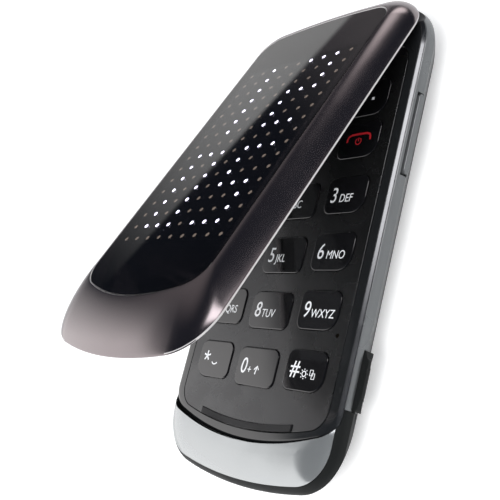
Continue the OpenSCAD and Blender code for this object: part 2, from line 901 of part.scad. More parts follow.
module headset_jack() {
    color([0.12, 0.12, 0.12]) difference() {
        union() {
            box(-jack_x, -nose_x + jack_d + jack_wall, jack_y - jack_r - jack_wall,
                jack_y + jack_r + jack_wall, jack_z - jack_r - jack_wall, board_z);
            x_rod(jack_r + jack_wall, -nose_x, -jack_x, jack_y, jack_z);
        }
        x_rod(jack_r, -body_w / 2, -nose_x + jack_d, jack_y, jack_z);
    }
}

usb_wall = 0.35;
tongue_in = 2;
tongue_w = 4;
tongue_t = 0.6;

// Block over the socket's place, grown along the side and in height
module usb_box(x0, x1, grow) {
    box(x0, x1, usb_y - usb_w / 2 - grow, usb_y + usb_w / 2 + grow,
        usb_z - usb_h / 2 - grow, usb_z + usb_h / 2 + grow);
}

module usb_socket() {
    color("silver") difference() {
        usb_box(socket_x - usb_d, socket_x, 0);
        difference() {
            usb_box(socket_x - usb_d + usb_wall, big, -usb_wall);
            block(socket_x - usb_d, usb_y, 2 * usb_d - tongue_in, tongue_w,
                usb_z - tongue_t / 2, usb_z + tongue_t / 2);
        }
    }
}

// ---------- flap over the socket and volume key ----------

flap_h = usb_h + 0.5;
flap_pivot_r = 1;
flap_upright = 0.7;
flap_y = flank_y + gap + flap_l / 2;
flap_axis_y = flap_y - flap_l / 2 + flap_pivot_r;
flap_axis_x = body_w / 2 + 0.1;
plug_w = 6;
plug_t = 1.4;

module flap_form(grow) {
    y_low = flap_axis_y;
    y_high = flap_y + flap_l / 2;
    x_in = flap_axis_x - flap_pivot_r;
    translate([0, 0, usb_z - flap_h / 2 - grow]) linear_extrude(flap_h + 2 * grow) {
        polygon([[x_in - grow, y_low], [flap_axis_x + flap_pivot_r, y_low],
            [body_w / 2 + flap_out, y_low + 1.4], [body_w / 2 + flap_out, y_high - 1.6],
            [body_w / 2 + 0.2, y_high + grow], [x_in - grow, y_high + grow]]);
        translate([flap_axis_x, y_low]) circle(r = flap_pivot_r + grow);
    }
}

// Tongue of the flap that plugs the socket's mouth
module flap_plug() {
    box(socket_x + gap, flap_axis_x, usb_y - plug_w / 2, usb_y + plug_w / 2,
        usb_z - plug_t / 2, usb_z + plug_t / 2);
}

// What the leaning face takes off the flap
module flap_slant() {
    rise = flap_h - flap_upright;
    translate([body_w / 2 + flap_out, big / 2, usb_z - flap_h / 2]) rotate([90, 0, 0]) linear_extrude(big)
        polygon([[-2 * flap_lean, -rise], [big, -rise], [big, rise], [0, rise]]);
}

module usb_cover() {
    color([0.3, 0.3, 0.31]) difference() {
        union() {
            flap_form(0);
            flap_plug();
        }
        flap_slant();
    }
}

vol_swing = 0.25;
vol_play = 0.2;
vol_room = 2.5;
vol_lip_t = 0.6;
vol_lip_y = 0.4;
vol_lip_z = 0.3;
vol_x = body_w / 2 - wall - vol_swing;

// Block over the volume key's place, grown along the side and in height
module vol_box(x0, x1, along, up) {
    box(x0, x1, vol_y - vol_l / 2 - along, vol_y + vol_l / 2 + along,
        vol_z - vol_h / 2 - up, vol_z + vol_h / 2 + up);
}

module volume_key() {
    color("dimgray") {
        vol_box(vol_x, body_w / 2 + vol_out, -vol_swing, -gap / 2);
        vol_box(vol_x - vol_lip_t, vol_x, vol_lip_y, vol_lip_z);
    }
}

// ---------- hinge ----------

pin_start = slot_w + 3 * gap;
pin_l = knuckle_end - knuckle_cap - gap - pin_start;

module hinge_module() {
    color("silver") x_rod(pin_r, pin_start, pin_start + pin_l, hinge_y, hinge_z);
}

bush_r = 0.8;

module hinge_pivot() {
    color("silver") difference() {
        x_rod(pin_r, -pin_start - pin_l, -pin_start, hinge_y, hinge_z);
        x_rod(bush_r, -big, big, hinge_y, hinge_z);
    }
}

flex_r = 0.65;
flex_t = 0.15;

module flex_cable() {
    color("orange") {
        x_rod(flex_r, -pin_start - pin_l, gap - slot_w + flex_r, hinge_y, hinge_z);
        flex_way(gap, flex_t);
    }
}

// ---------- lid ----------

window_corner = 5.5;
window_bow = 120;
rim_bow = 400;
window_tip_corner = 6.5;
window_tip_bow = 45;
tip_bow = 81;

// Shape of the lid at angle t up its shoulder, from the rim at 0 to the window's plane at 90
function lid_out(t) = pow(cos(t), lid_bend);
function lid_up(t) = pow(sin(t), lid_bend);
function lid_side(t) = window_w / 2 + shoulder * lid_out(t);
function lid_tip(t) = tip_y + tip_slope * (1 - lid_out(t));
function blend(a, b, t) = a + (b - a) * lid_up(t);
function hood_y(z) = hinge_y + sqrt(max(0, hood_r * hood_r - pow(z - hinge_z, 2)));

function lid_ring(t) =
    let (z = rim_z + lid_h * lid_up(t))
    [z, outline(lid_side(t), hood_y(z), blend(lid_corner, window_corner, t), blend(rim_bow, window_bow, t),
        lid_tip(t), blend(tip_corner, window_tip_corner, t), blend(tip_bow, window_tip_bow, t))];

// Ring of the room inside the lid, a distance in from it
function cavity_ring(t, in) =
    [rim_z + cavity_h * lid_up(t) / lid_up(cavity_turn),
     outline(lid_side(t) - lid_wall - in, inner_high + gap - in, lid_corner - lid_wall - in, rim_bow,
        lid_tip(t) + lid_wall + in, blend(tip_corner, window_tip_corner, t) - (lid_wall + in) / 2,
        blend(tip_bow, window_tip_bow, t))];

function window_outline(in) =
    outline(window_w / 2 - in, hinge_y - window_back - in, window_corner - in, window_bow,
        tip_y + tip_slope + in, window_tip_corner - in, window_tip_bow);

lamp_room_w = (lamp_cols - 1) * lamp_px + 3;
lamp_room_l = (lamp_rows - 1) * lamp_py + 3;
lamp_y = hinge_y - lamp_back;
inner_high = web_y - 0.6;
cavity_turn = 82;
lid_n = 10;
window_back = 0.3;
web_room = 0.5;
mouth_lip = 0.35;

module lid_shell() {
    color([0.35, 0.31, 0.33]) on_lid() difference() {
        union() {
            loft([for (i = [0:lid_n]) lid_ring(90 * i / lid_n)]);
            both_sides() intersection() {
                x_rod(hood_r, mouth_w, knuckle_end, hinge_y, hinge_z);
                box(0, big, 0, big, 0, rim_z + knuckle_up);
            }
        }
        loft(concat([[rim_z - 1, cavity_ring(0, 0)[1]]],
            [for (i = [0:ring_n]) cavity_ring(cavity_turn * i / ring_n, 0)]));
        box(-mouth_w, mouth_w, inner_high - 1, hinge_y, -big, hinge_z + web_up + 2 * web_room);
        box(-mouth_w, mouth_w, hinge_y - eps, big, -big, hinge_z - mouth_lip);
        x_rod(hood_r - hood_t, -mouth_w, mouth_w, hinge_y, hinge_z);
        x_rod(pin_r + pin_fit, knuckle_cap - knuckle_end, knuckle_end - knuckle_cap, hinge_y, hinge_z);
        slab(window_z, big, window_outline(0));
        block(0, lamp_y, lamp_room_w, lamp_room_l, rim_z, big);
    }
}

module lid_window() {
    color([0.05, 0.05, 0.06]) on_lid() slab(window_z, lid_top, window_outline(gap / 2));
}

module lamp_board() {
    color("darkgreen") on_lid()
        block(0, lamp_y, lamp_room_w + 2, lamp_room_l + 2, lamp_board_z, lamp_board_z + lamp_board_t);
}

module lamps() {
    color("white") on_lid() for (c = [0:lamp_cols - 1]) for (r = [0:lamp_rows - 1])
        translate([(c - (lamp_cols - 1) / 2) * lamp_px, lamp_y + (r - (lamp_rows - 1) / 2) * lamp_py,
            lamp_board_z + lamp_board_t])
            cylinder(r = lamp_r, h = window_z - lamp_board_z - lamp_board_t - gap / 2, $fn = 16);
}

ear_w = 9;
ear_slot = 1;
ear_l = 4.8;
ear_h = 1;
ear_up = 9.7;
ear_y = tip_y + ear_up;

// Angle up the shoulder at which the room is as high as the inner cover's top
inner_turn = asin(pow(max(0, display_z - rim_z) * lid_up(cavity_turn) / cavity_h, 1 / lid_bend));

module inner_cover() {
    color([0.1, 0.1, 0.11]) on_lid() difference() {
        slab(inner_z, display_z, cavity_ring(inner_turn, gap)[1]);
        block(0, display_y, display_w, display_l, -big, big);
        block(0, ear_y, ear_w, ear_slot, -big, big);
        at_lid_posts() {
            cylinder(r = bumper_r, h = inner_z + bumper_t + lid_head_t);
            cylinder(r = lid_screw_r, h = big);
        }
    }
}

module display_window() {
    color([0.03, 0.03, 0.04]) on_lid()
        block(0, display_y, display_w - gap, display_l - gap, inner_z, display_z);
}

module display() {
    color("dimgray") on_lid()
        block(0, display_y, display_w + 2, display_l + 2, display_z, display_z + display_t);
}

module earpiece() {
    color("gray") on_lid() block(0, ear_y, ear_w + 2, ear_l, display_z, display_z + ear_h);
}

magnet_w = 3.5;
magnet_l = 3;
magnet_h = 0.9;
magnet_x = 15.5;

module lid_magnet() {
    color("silver") on_lid() block(magnet_x, ear_y + 2, magnet_w, magnet_l, display_z, display_z + magnet_h);
}

bumper_r = 1.5;
bumper_t = 0.25;
lid_screw_r = 0.5;
lid_screw_l = 1.2;
lid_head_r = 1;
lid_head_t = 0.2;
lid_post_in = 5.3;
lid_post_up = 12.5;
lid_post_back = 7;
lid_post_x = lid_w / 2 - lid_post_in;
lid_post_y = [tip_y + lid_post_up, inner_high - lid_post_back];

module at_lid_posts() {
    both_sides() for (y = lid_post_y) translate([lid_post_x, y]) children();
}

module lid_bumpers() {
    color([0.15, 0.15, 0.15]) on_lid() at_lid_posts() translate([0, 0, inner_z - shut_gap / 2])
        cylinder(r = bumper_r, h = bumper_t + shut_gap / 2);
}

module lid_screws() {
    color("silver") on_lid() at_lid_posts() translate([0, 0, inner_z + bumper_t]) {
        cylinder(r = lid_head_r, h = lid_head_t);
        cylinder(r = lid_screw_r, h = lid_screw_l);
    }
}

key_black = [0.12, 0.12, 0.13];

front_housing();
rear_housing();
keypad_bezel();
keypad_panel();
panel_bumper();
chin_housing();
chin_cap();
antenna();
battery_cover();
battery();
battery_contacts();
sim_holder();
main_board();
shield_cans();
dome_sheet();
microphone();
loudspeaker();
vibration_motor();
camera_module();
camera_window();
headset_jack();
usb_socket();
usb_cover();
volume_key();
hinge_module();
hinge_pivot();
flex_cable();
housing_screws();
key(-1, 3, key_black);  // key_1
key(0, 3, key_black);  // key_2
key(1, 3, key_black);  // key_3
key(-1, 2, key_black);  // key_4
key(0, 2, key_black);  // key_5
key(1, 2, key_black);  // key_6
key(-1, 1, key_black);  // key_7
key(0, 1, key_black);  // key_8
key(1, 1, key_black);  // key_9
key(-1, 0, key_black);  // key_star
key(0, 0, key_black);  // key_0
key(1, 0, key_black);  // key_hash
key(-1, 4, key_black);  // key_send
key(1, 4, key_black);  // key_end
key(-1, 5, key_black);  // key_soft_left
key(1, 5, key_black);  // key_soft_right
nav_ring();
nav_ok();
lid_shell();
lid_window();
lamp_board();
lamps();
inner_cover();
display();
display_window();
earpiece();
lid_magnet();
lid_bumpers();
lid_screws();
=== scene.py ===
"""Looks of the flip phone: smooth outer pieces, finishes, legends, lamps, camera and light.
Lengths are millimetres in the frame of the part until a piece is finished, then metres."""

from functools import partial
from math import asin, atan2, cos, degrees, pi, radians, sin, sqrt

import bmesh
import bpy
import numpy as np
from mathutils import Matrix, Vector


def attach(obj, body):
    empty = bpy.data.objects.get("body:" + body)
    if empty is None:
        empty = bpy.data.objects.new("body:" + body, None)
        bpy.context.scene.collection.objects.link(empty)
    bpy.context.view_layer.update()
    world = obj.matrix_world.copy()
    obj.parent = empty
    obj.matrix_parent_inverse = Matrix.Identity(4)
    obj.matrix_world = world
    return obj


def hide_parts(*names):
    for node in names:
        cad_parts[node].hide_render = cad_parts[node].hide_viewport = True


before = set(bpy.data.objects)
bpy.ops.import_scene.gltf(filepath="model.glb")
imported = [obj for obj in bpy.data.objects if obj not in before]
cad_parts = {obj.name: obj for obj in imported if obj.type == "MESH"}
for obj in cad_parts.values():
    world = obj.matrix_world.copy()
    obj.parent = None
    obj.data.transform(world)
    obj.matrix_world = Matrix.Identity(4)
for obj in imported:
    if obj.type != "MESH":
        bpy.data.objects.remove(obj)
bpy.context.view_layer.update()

MM = 0.001
BIG = 200  # past every side of the phone
EPS = 0.01
LID_BODY = "lid"

# ---------- sizes, named and worked out as in part.scad ----------

# base: outline, sides and shells
body_w, body_l, wide_z, back_round, side_bend, chin_lean, seam_in = 52.8, 108.3, 6.5, 5.1, 1.1, 2, 0.5
hinge_corner, hinge_bow, chin_corner, chin_bow = 11.8, 60, 10.5, 96
wall, split_z, gap, cover_back, screw_r = 1.3, 3.6, 0.1, 39.5, 0.6
# what lies on what between the back and the keys
cover_t, bat_t, tray_t, board_t, sheet_t, dome_h = 1, 4, 0.6, 0.8, 0.15, 0.2
# keypad
panel_t, bezel_w, panel_low, panel_high, travel, key_proud = 0.8, 3.55, 11.2, 7, 0.35, 0.25
row_gap, mid_w, col_gap, key_side, keys_low, keys_high = 4.25, 12.4, 2.6, 2.95, 23.95, 19.85
smile, key_r, key_big_r, flange, key_gap, well_gap, soft_gap = 0.55, 1.8, 3.4, 0.35, 0.12, 0.15, 1.5
nav_r, ok_r, ring_gap, nav_up = 8.1, 3.9, 0.15, 0.9
# chin
chin_len, chin_rise, flank_len, cap_in, cap_t = 8.65, 0.95, 18.55, 1.2, 0.9
# hinge
hinge_back, hinge_up, hood_r, hood_t, knuckle_l, pin_r = 5.5, 1.25, 3, 0.85, 4.9, 1.3
pin_fit, hinge_gap, lid_open = 0.05, 0.2, 22.5
# lid, with the display and the lamps in it
lid_in, lid_bend, lid_corner, shoulder, tip_slope, tip_gap = 0.9, 1.45, 9, 5.7, 11.2, 1.35
rim_up, lid_wall, window_t, tip_corner, inner_t, shut_gap = 0.2, 1.1, 0.6, 10.5, 0.8, 0.3
display_t, lamp_board_t = 1.4, 0.25
lamp_cols, lamp_rows, lamp_px, lamp_py, lamp_r, lamp_back = 9, 16, 3.95, 3.44, 0.5, 40.85
# volume key, socket and its cover, headset jack
vol_l, vol_h, vol_back, vol_out = 18, 1.7, 28.05, 0.45
usb_up, usb_w, usb_h, usb_d, flap_l, flap_out, flap_lean = 5.5, 7.4, 2.7, 5.2, 11.5, 1.5, 2
jack_r, jack_wall, jack_back = 1.8, 0.5, 16

panel_w = body_w - 2 * bezel_w
lid_w = body_w - 2 * lid_in
window_w = lid_w - 2 * shoulder
outer_w = panel_w / 2 - key_side - mid_w / 2 - col_gap
col_pitch = (mid_w + outer_w) / 2 + col_gap

board_z = cover_t + gap + bat_t + 4 * gap + tray_t + gap
sheet_z = board_z + board_t
deck_z = sheet_z + sheet_t + gap / 2
nub_r, nub_h, flange_t = 1.2, 0.4, 0.5
flange_z = sheet_z + sheet_t + dome_h + travel + gap / 2 + nub_h
seam_z = flange_z + flange_t + gap / 2
panel_z = seam_z + panel_t
key_top = panel_z + key_proud

hinge_y = body_l / 2 - hinge_back
hinge_z = panel_z + hinge_up
lid_top = hinge_z + hood_r
rim_z = panel_z + rim_up
lid_h = lid_top - rim_z
tip_y = -body_l / 2 + chin_len + tip_gap
inner_z = key_top + shut_gap
display_z = inner_z + inner_t
lamp_z = display_z + display_t + gap / 2 + lamp_board_t
window_z = lid_top - window_t
cavity_h = lamp_z - rim_z
cut_r = hood_r + hinge_gap
knuckle_cap, knuckle_up, mouth_lip, web_room = 0.4, 0.3, 0.35, 0.5
knuckle_end = lid_w / 2 - lid_corner
mouth_w = knuckle_end - knuckle_l
barrel_x = mouth_w - hinge_gap

rows_n = 4
row_y = keys_low - body_l / 2
row_pitch = (hinge_y - keys_high - row_y + row_gap - soft_gap) / (rows_n + 1)
key_h = row_pitch - row_gap
soft_pitch = key_h + soft_gap
nav_y = row_y + rows_n * row_pitch + soft_pitch / 2 + nav_up

chin_y = -body_l / 2 + chin_len
flank_y = -body_l / 2 + flank_len
chin_edge_corner, chin_edge_bow = 5.5, 68
chin_top_in, chin_top_len, chin_top_corner = 4.8, 8.5, 5.8
deck_in, deck_lap, shelf_z, shelf_t = wall - gap, 0.7, seam_z - 1.9, 0.6
panel_corner, panel_bow_high, panel_bow_low = 4.7, 220, 80
bar_w, bar_x, bar_deep, bar_proud = 1.5, 14.3, 0.4, 0.35
mic_x, mic_y, mic_r, mic_hole = panel_w / 2 - 2.15, row_y + 8.1, 1.5, 0.45

web_t, web_up, web_down, groove_t, slot_w, slot_h = 1.4, 0.4, 0.6, 0.8, 2, 0.4
web_y = hinge_y - cut_r - web_t
flex_y = web_y + web_t / 2
barrel_r = hood_r - hood_t - hinge_gap
window_corner, window_bow, window_back = 5.5, 120, 0.3
window_tip_corner, window_tip_bow = 6.5, 45
rim_bow, tip_bow, cavity_turn, inner_high = 400, 81, 82, web_y - 0.6
lamp_y = hinge_y - lamp_back

vol_swing, vol_play, vol_room, vol_foot, vol_lip_y, vol_lip_z = 0.25, 0.2, 2.5, 0.6, 0.4, 0.3
vol_x, vol_y, vol_z = body_w / 2 - wall - vol_swing, hinge_y - vol_back, seam_z - 1.6
socket_x, usb_y, usb_z = body_w / 2 - 1.6, flank_y + usb_up, board_z - 0.55
flap_pivot_r, flap_axis_x, flap_h, flap_upright = 1, body_w / 2 + 0.1, usb_h + 0.5, 0.7
plug_w, plug_t = 6, 1.4
flap_y = flank_y + gap + flap_l / 2
flap_axis_y = flap_y - flap_l / 2 + flap_pivot_r
post_x, post_y, post_cap = body_w / 2 - 7, body_l / 2 - 14, 0.4
cover_y, tab_x, tab_w, tab_l, tab_t = hinge_y - cover_back, 12, 5, 2.2, 0.7

# how many pieces make a curve
CORNER_N, BOW_N, ROUND_N, KEY_CORNER_N = 16, 12, 64, 10
SIDE_LOW_N, SIDE_HIGH_N, CHIN_N, SHOULDER_N, CAVITY_N, BAR_N = 12, 6, 25, 33, 11, 40

# ---------- outlines ----------


def arc(centre, r, a, b, n):
    """Points on a circle from angle a to angle b in degrees, in n steps."""
    t = np.radians(np.linspace(a, b, n + 1))
    return np.column_stack([centre[0] + r * np.cos(t), centre[1] + r * np.sin(t)])


def end_points(w, y, corner, bow):
    """Half an end: a corner arc from the side that runs into a bowed end."""
    cx = w - corner
    cy = y - bow + sqrt((bow - corner) ** 2 - cx * cx)
    a = degrees(atan2(cy - y + bow, cx))
    return np.vstack([arc((cx, cy), corner, 0, a, CORNER_N), arc((0, y - bow), bow, a, 90, BOW_N)[1:]])


def outline(w, y_high, corner_high, bow_high, y_low, corner_low, bow_low):
    """Closed outline, w wide to each side, with two bowed ends that have round corners."""
    h = end_points(w, y_high, corner_high, bow_high)
    low = end_points(w, -y_low, corner_low, bow_low)
    return np.vstack([h, h[-2::-1] * (-1, 1), -low, low[-2::-1] * (1, -1)])


def side_in(z):
    """How far the base's side stands in from its widest line at height z."""
    if z < wide_z:
        return back_round * (1 - max(0, 1 - ((wide_z - z) / wide_z) ** side_bend) ** (1 / side_bend))
    return seam_in * ((z - wide_z) / (seam_z - wide_z)) ** 2


def base_outline(z, inset):
    lean = side_in(z)
    both = lean + inset
    return outline(body_w / 2 - both, body_l / 2 - both, hinge_corner - both, hinge_bow - both,
                   -body_l / 2 + chin_lean * lean + inset, max(1, chin_corner - both), chin_bow - both)


def chin_line():
    """The edge where the chin meets the bezel."""
    return outline(body_w / 2 - seam_in + gap / 2, body_l / 2, hinge_corner, hinge_bow, chin_y,
                   chin_edge_corner, chin_edge_bow)


def deck_outline(inset):
    return outline(body_w / 2 - side_in(deck_z) - deck_in - inset, body_l / 2 - deck_in - inset,
                   hinge_corner - deck_in - inset, hinge_bow - deck_in - inset,
                   chin_y + deck_lap + inset, chin_edge_corner - inset, chin_edge_bow - inset)


def panel_outline(inset):
    return outline(panel_w / 2 - inset, hinge_y - panel_high - inset, panel_corner - inset, panel_bow_high,
                   -body_l / 2 + panel_low + inset, panel_corner - inset, panel_bow_low)


def chin_ring(t):
    """Ring of the chin's top at angle t, from 0 at the widest line to 90 at the top."""
    lean = 1 - cos(radians(t))
    inset = chin_top_in * lean
    return (wide_z + (panel_z + chin_rise - wide_z) * sin(radians(t)),
            outline(body_w / 2 - inset, body_l / 2, hinge_corner, hinge_bow,
                    -body_l / 2 + chin_top_len * lean, chin_corner + (chin_top_corner - chin_corner) * lean,
                    chin_bow - inset))


def lid_out(t):
    """How far the lid's shoulder stands out at angle t: 1 at the rim, 0 at the window."""
    return max(0, cos(radians(t))) ** lid_bend


def lid_up(t):
    """How high the lid's shoulder is at angle t: 0 at the rim, 1 at the window."""
    return sin(radians(t)) ** lid_bend


def blend(a, b, t):
    return a + (b - a) * lid_up(t)


def hood_y(z):
    """The lid's hinge end at height z, round about the hinge."""
    return hinge_y + sqrt(max(0, hood_r ** 2 - (z - hinge_z) ** 2))


def lid_side(t):
    return window_w / 2 + shoulder * lid_out(t)


def lid_tip(t):
    return tip_y + tip_slope * (1 - lid_out(t))


def lid_ring(t, inset=0.0, z=None):
    """Ring of the lid at angle t up its shoulder, moved in by inset and, if given, to height z."""
    high = rim_z + lid_h * lid_up(t)
    return (high if z is None else z,
            outline(lid_side(t) - inset, hood_y(high) - inset, blend(lid_corner, window_corner, t) - inset,
                    blend(rim_bow, window_bow, t), lid_tip(t) + inset,
                    blend(tip_corner, window_tip_corner, t) - inset, blend(tip_bow, window_tip_bow, t)))


def cavity_ring(t):
    """Ring of the room inside the lid."""
    return (rim_z + cavity_h * lid_up(t) / lid_up(cavity_turn),
            outline(lid_side(t) - lid_wall, inner_high + gap, lid_corner - lid_wall, rim_bow,
                    lid_tip(t) + lid_wall, blend(tip_corner, window_tip_corner, t) - lid_wall / 2,
                    blend(tip_bow, window_tip_bow, t)))


def window_outline(inset):
    return outline(window_w / 2 - inset, hinge_y - window_back - inset, window_corner - inset, window_bow,
                   tip_y + tip_slope + inset, window_tip_corner - inset, window_tip_bow)


def key_y(column, row):
    """Middle of a key: the rows rise to both sides, and the soft keys stand closer."""
    base = row_y + min(row, rows_n) * row_pitch + (soft_pitch if row > rows_n else 0)
    return base + smile * abs(column)


def key_outline(column, row, grow):
    """Outline of a key: the outer lower corner is the roundest."""
    w = (outer_w if column else mid_w) / 2 + grow
    h = key_h / 2 + grow
    points = []
    for sx, sy, start in ((1, 1, 0), (-1, 1, 90), (-1, -1, 180), (1, -1, 270)):
        r = (key_big_r if sy < 0 and sx == column else key_r) + grow
        points.append(arc((sx * (w - r), sy * (h - r)), r, start, start + 90, KEY_CORNER_N))
    return np.vstack(points) + (column * col_pitch, key_y(column, row))


def circle(x, y, r, n=ROUND_N):
    return arc((x, y), r, 0, 360, n)[:-1]


# ---------- solids ----------


def linked(data, name="piece"):
    """An object of the scene with this mesh, text, light or camera."""
    obj = bpy.data.objects.new(name, data)
    bpy.context.scene.collection.objects.link(obj)
    return obj


def solid(verts, faces):
    mesh = bpy.data.meshes.new("piece")
    mesh.from_pydata([tuple(map(float, v)) for v in verts], [], faces)
    bm = bmesh.new()
    bm.from_mesh(mesh)
    bmesh.ops.recalc_face_normals(bm, faces=bm.faces)
    bm.to_mesh(mesh)
    bm.free()
    return linked(mesh)


def loft(rings):
    """Solid through rings, each a height and an outline."""
    n, m = len(rings[0][1]), len(rings)
    verts = [(p[0], p[1], z) for z, points in rings for p in points]
    faces = [(i * n + j, i * n + (j + 1) % n, (i + 1) * n + (j + 1) % n, (i + 1) * n + j)
             for i in range(m - 1) for j in range(n)]
    faces += [tuple(reversed(range(n))), tuple(range((m - 1) * n, m * n))]
    return solid(verts, faces)


def slab(z0, z1, points):
    return loft([(z0, points), (z1, points)])


def box(x0, x1, y0, y1, z0, z1):
    return slab(z0, z1, [(x1, y1), (x0, y1), (x0, y0), (x1, y0)])


def chinward(y):
    """Everything on the chin's side of y."""
    return box(-BIG, BIG, -BIG, y, -BIG, BIG)


def hingeward(y):
    """Everything on the hinge's side of y."""
    return box(-BIG, BIG, y, BIG, -BIG, BIG)


def block(x, y, w, l, z0, z1):
    """A box about the point x, y."""
    return box(x - w / 2, x + w / 2, y - l / 2, y + l / 2, z0, z1)


def rounded_slab(z0, z1, shape, low=0.0, high=0.0, steps=3):
    """Slab of the outline shape(inset), with its lower and upper edges rounded by these radii."""

    def end(z, r, way):
        """Rings from the end face at z inwards."""
        if not r:
            return [(z, shape(0))]
        return [(z + way * r * (1 - sin(a)), shape(r * (1 - cos(a))))
                for a in np.linspace(pi / 2, 0, steps + 1)]

    return loft(end(z0, low, 1) + end(z1, high, -1)[::-1])


def cylinder(x, y, r, z0, z1, edge=0.0):
    return rounded_slab(z0, z1, lambda i: circle(x, y, r - i), edge, edge)


def x_rod(r, x0, x1, y, z, edge=0.0):
    """A cylinder along X."""
    obj = cylinder(0, 0, r, x0, x1, edge)
    obj.data.transform(Matrix.Translation((0, y, z)) @ Matrix.Rotation(pi / 2, 4, "Y"))
    return obj


def bundle(objs):
    """One object of several that don't touch."""
    bm = bmesh.new()
    for o in objs:
        bm.from_mesh(o.data)
        bpy.data.objects.remove(o)
    mesh = bpy.data.meshes.new("piece")
    bm.to_mesh(mesh)
    bm.free()
    return linked(mesh)


def shown(obj):
    """A mesh of what an object shows."""
    graph = bpy.context.evaluated_depsgraph_get()
    return bpy.data.meshes.new_from_object(obj.evaluated_get(graph))


def combine(operation, obj, *tools):
    """Applies a boolean operation with each tool in turn, and removes the tools."""
    for tool in tools:
        m = obj.modifiers.new("cut", "BOOLEAN")
        m.operation = operation
        m.solver = "EXACT"
        m.object = tool
    mesh = shown(obj)
    obj.modifiers.clear()
    obj.data = mesh
    for tool in tools:
        bpy.data.objects.remove(tool)
    return obj


cut, add, keep = (partial(combine, operation) for operation in ("DIFFERENCE", "UNION", "INTERSECT"))
# from the shut lid to where it rests, open
ON_LID = (Matrix.Translation((0, hinge_y, hinge_z)) @ Matrix.Rotation(radians(-lid_open), 4, "X")
          @ Matrix.Translation((0, -hinge_y, -hinge_z)))
WELD, FLAT_ANGLE = 1e-4, 0.5  # points closer than this are one, and a bend below this is none


def soften(obj, width, angle):
    """Rounds the edges that are sharper than angle a little."""
    bm = bmesh.new()
    bm.from_mesh(obj.data)
    bmesh.ops.remove_doubles(bm, verts=bm.verts, dist=WELD)
    bmesh.ops.dissolve_limit(bm, angle_limit=radians(FLAT_ANGLE), verts=bm.verts, edges=bm.edges)
    sharp = [e for e in bm.edges if len(e.link_faces) == 2 and e.calc_face_angle() > radians(angle)]
    bmesh.ops.bevel(bm, geom=sharp, offset=width, segments=2, affect="EDGES", profile=0.5,
                    clamp_overlap=True)
    bm.to_mesh(obj.data)
    bm.free()
    return obj


def finish(name, obj, body, material, nodes=(), smooth=32, second=None, chosen=None):
    """Turns a solid into a shown piece: in metres, smooth up to bends of smooth degrees, riding on its
    body. The faces for which chosen(face) is true get the second material."""
    mesh = obj.data
    flags = [bool(chosen and chosen(face)) for face in mesh.polygons]
    if body == LID_BODY:
        mesh.transform(ON_LID)
    mesh.transform(Matrix.Scale(MM, 4))
    obj.name = name
    mesh.name = name
    mesh.materials.clear()
    mesh.materials.append(material)
    if second:
        mesh.materials.append(second)
    mesh.polygons.foreach_set("material_index", flags)
    mesh.polygons.foreach_set("use_smooth", [True] * len(mesh.polygons))
    mesh.set_sharp_from_angle(angle=radians(smooth))
    obj.modifiers.new("normals", "WEIGHTED_NORMAL").keep_sharp = True
    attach(obj, body)
    if nodes:
        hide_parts(*nodes)


# ---------- finishes ----------


# sockets of a Mix node that is set to colours
MIX_FACTOR, MIX_A, MIX_B, MIX_RESULT = 0, 6, 7, 2
# most values of a noise lie between these
NOISE_LOW, NOISE_HIGH = 0.3, 0.7
HAZE_SCALE, HAZE_DETAIL, GRAIN_DETAIL = 120, 3, 4
COAT_ROUGH, BUMP_DEPTH = 0.06, 0.00005


def fill(node, values):
    """Sets a node's inputs by their names."""
    for name, value in values.items():
        node.inputs[name].default_value = value
    return node


class Nodes:
    """Helpers that the node trees of the finishes and of the sky share."""

    def node(self, kind):
        return self.tree.nodes.new(kind)

    def link(self, a, b):
        self.tree.links.new(a, b)

    def mix(self, factor, a, b):
        """From a to b by the factor; both are colours or outputs."""
        node = self.node("ShaderNodeMix")
        node.data_type = "RGBA"
        self.link(factor, node.inputs[MIX_FACTOR])
        for socket, value in ((node.inputs[MIX_A], a), (node.inputs[MIX_B], b)):
            if isinstance(value, tuple):
                socket.default_value = (*value, 1)
            else:
                self.link(value, socket)
        return node.outputs[MIX_RESULT]

    def ramp(self, value, low, high, to_low=0.0, to_high=1.0, kind="LINEAR"):
        """Goes from to_low to to_high as the value goes from low to high."""
        node = fill(self.node("ShaderNodeMapRange"),
                    {"From Min": low, "From Max": high, "To Min": to_low, "To Max": to_high})
        node.interpolation_type = kind
        self.link(value, node.inputs["Value"])
        return node.outputs["Result"]


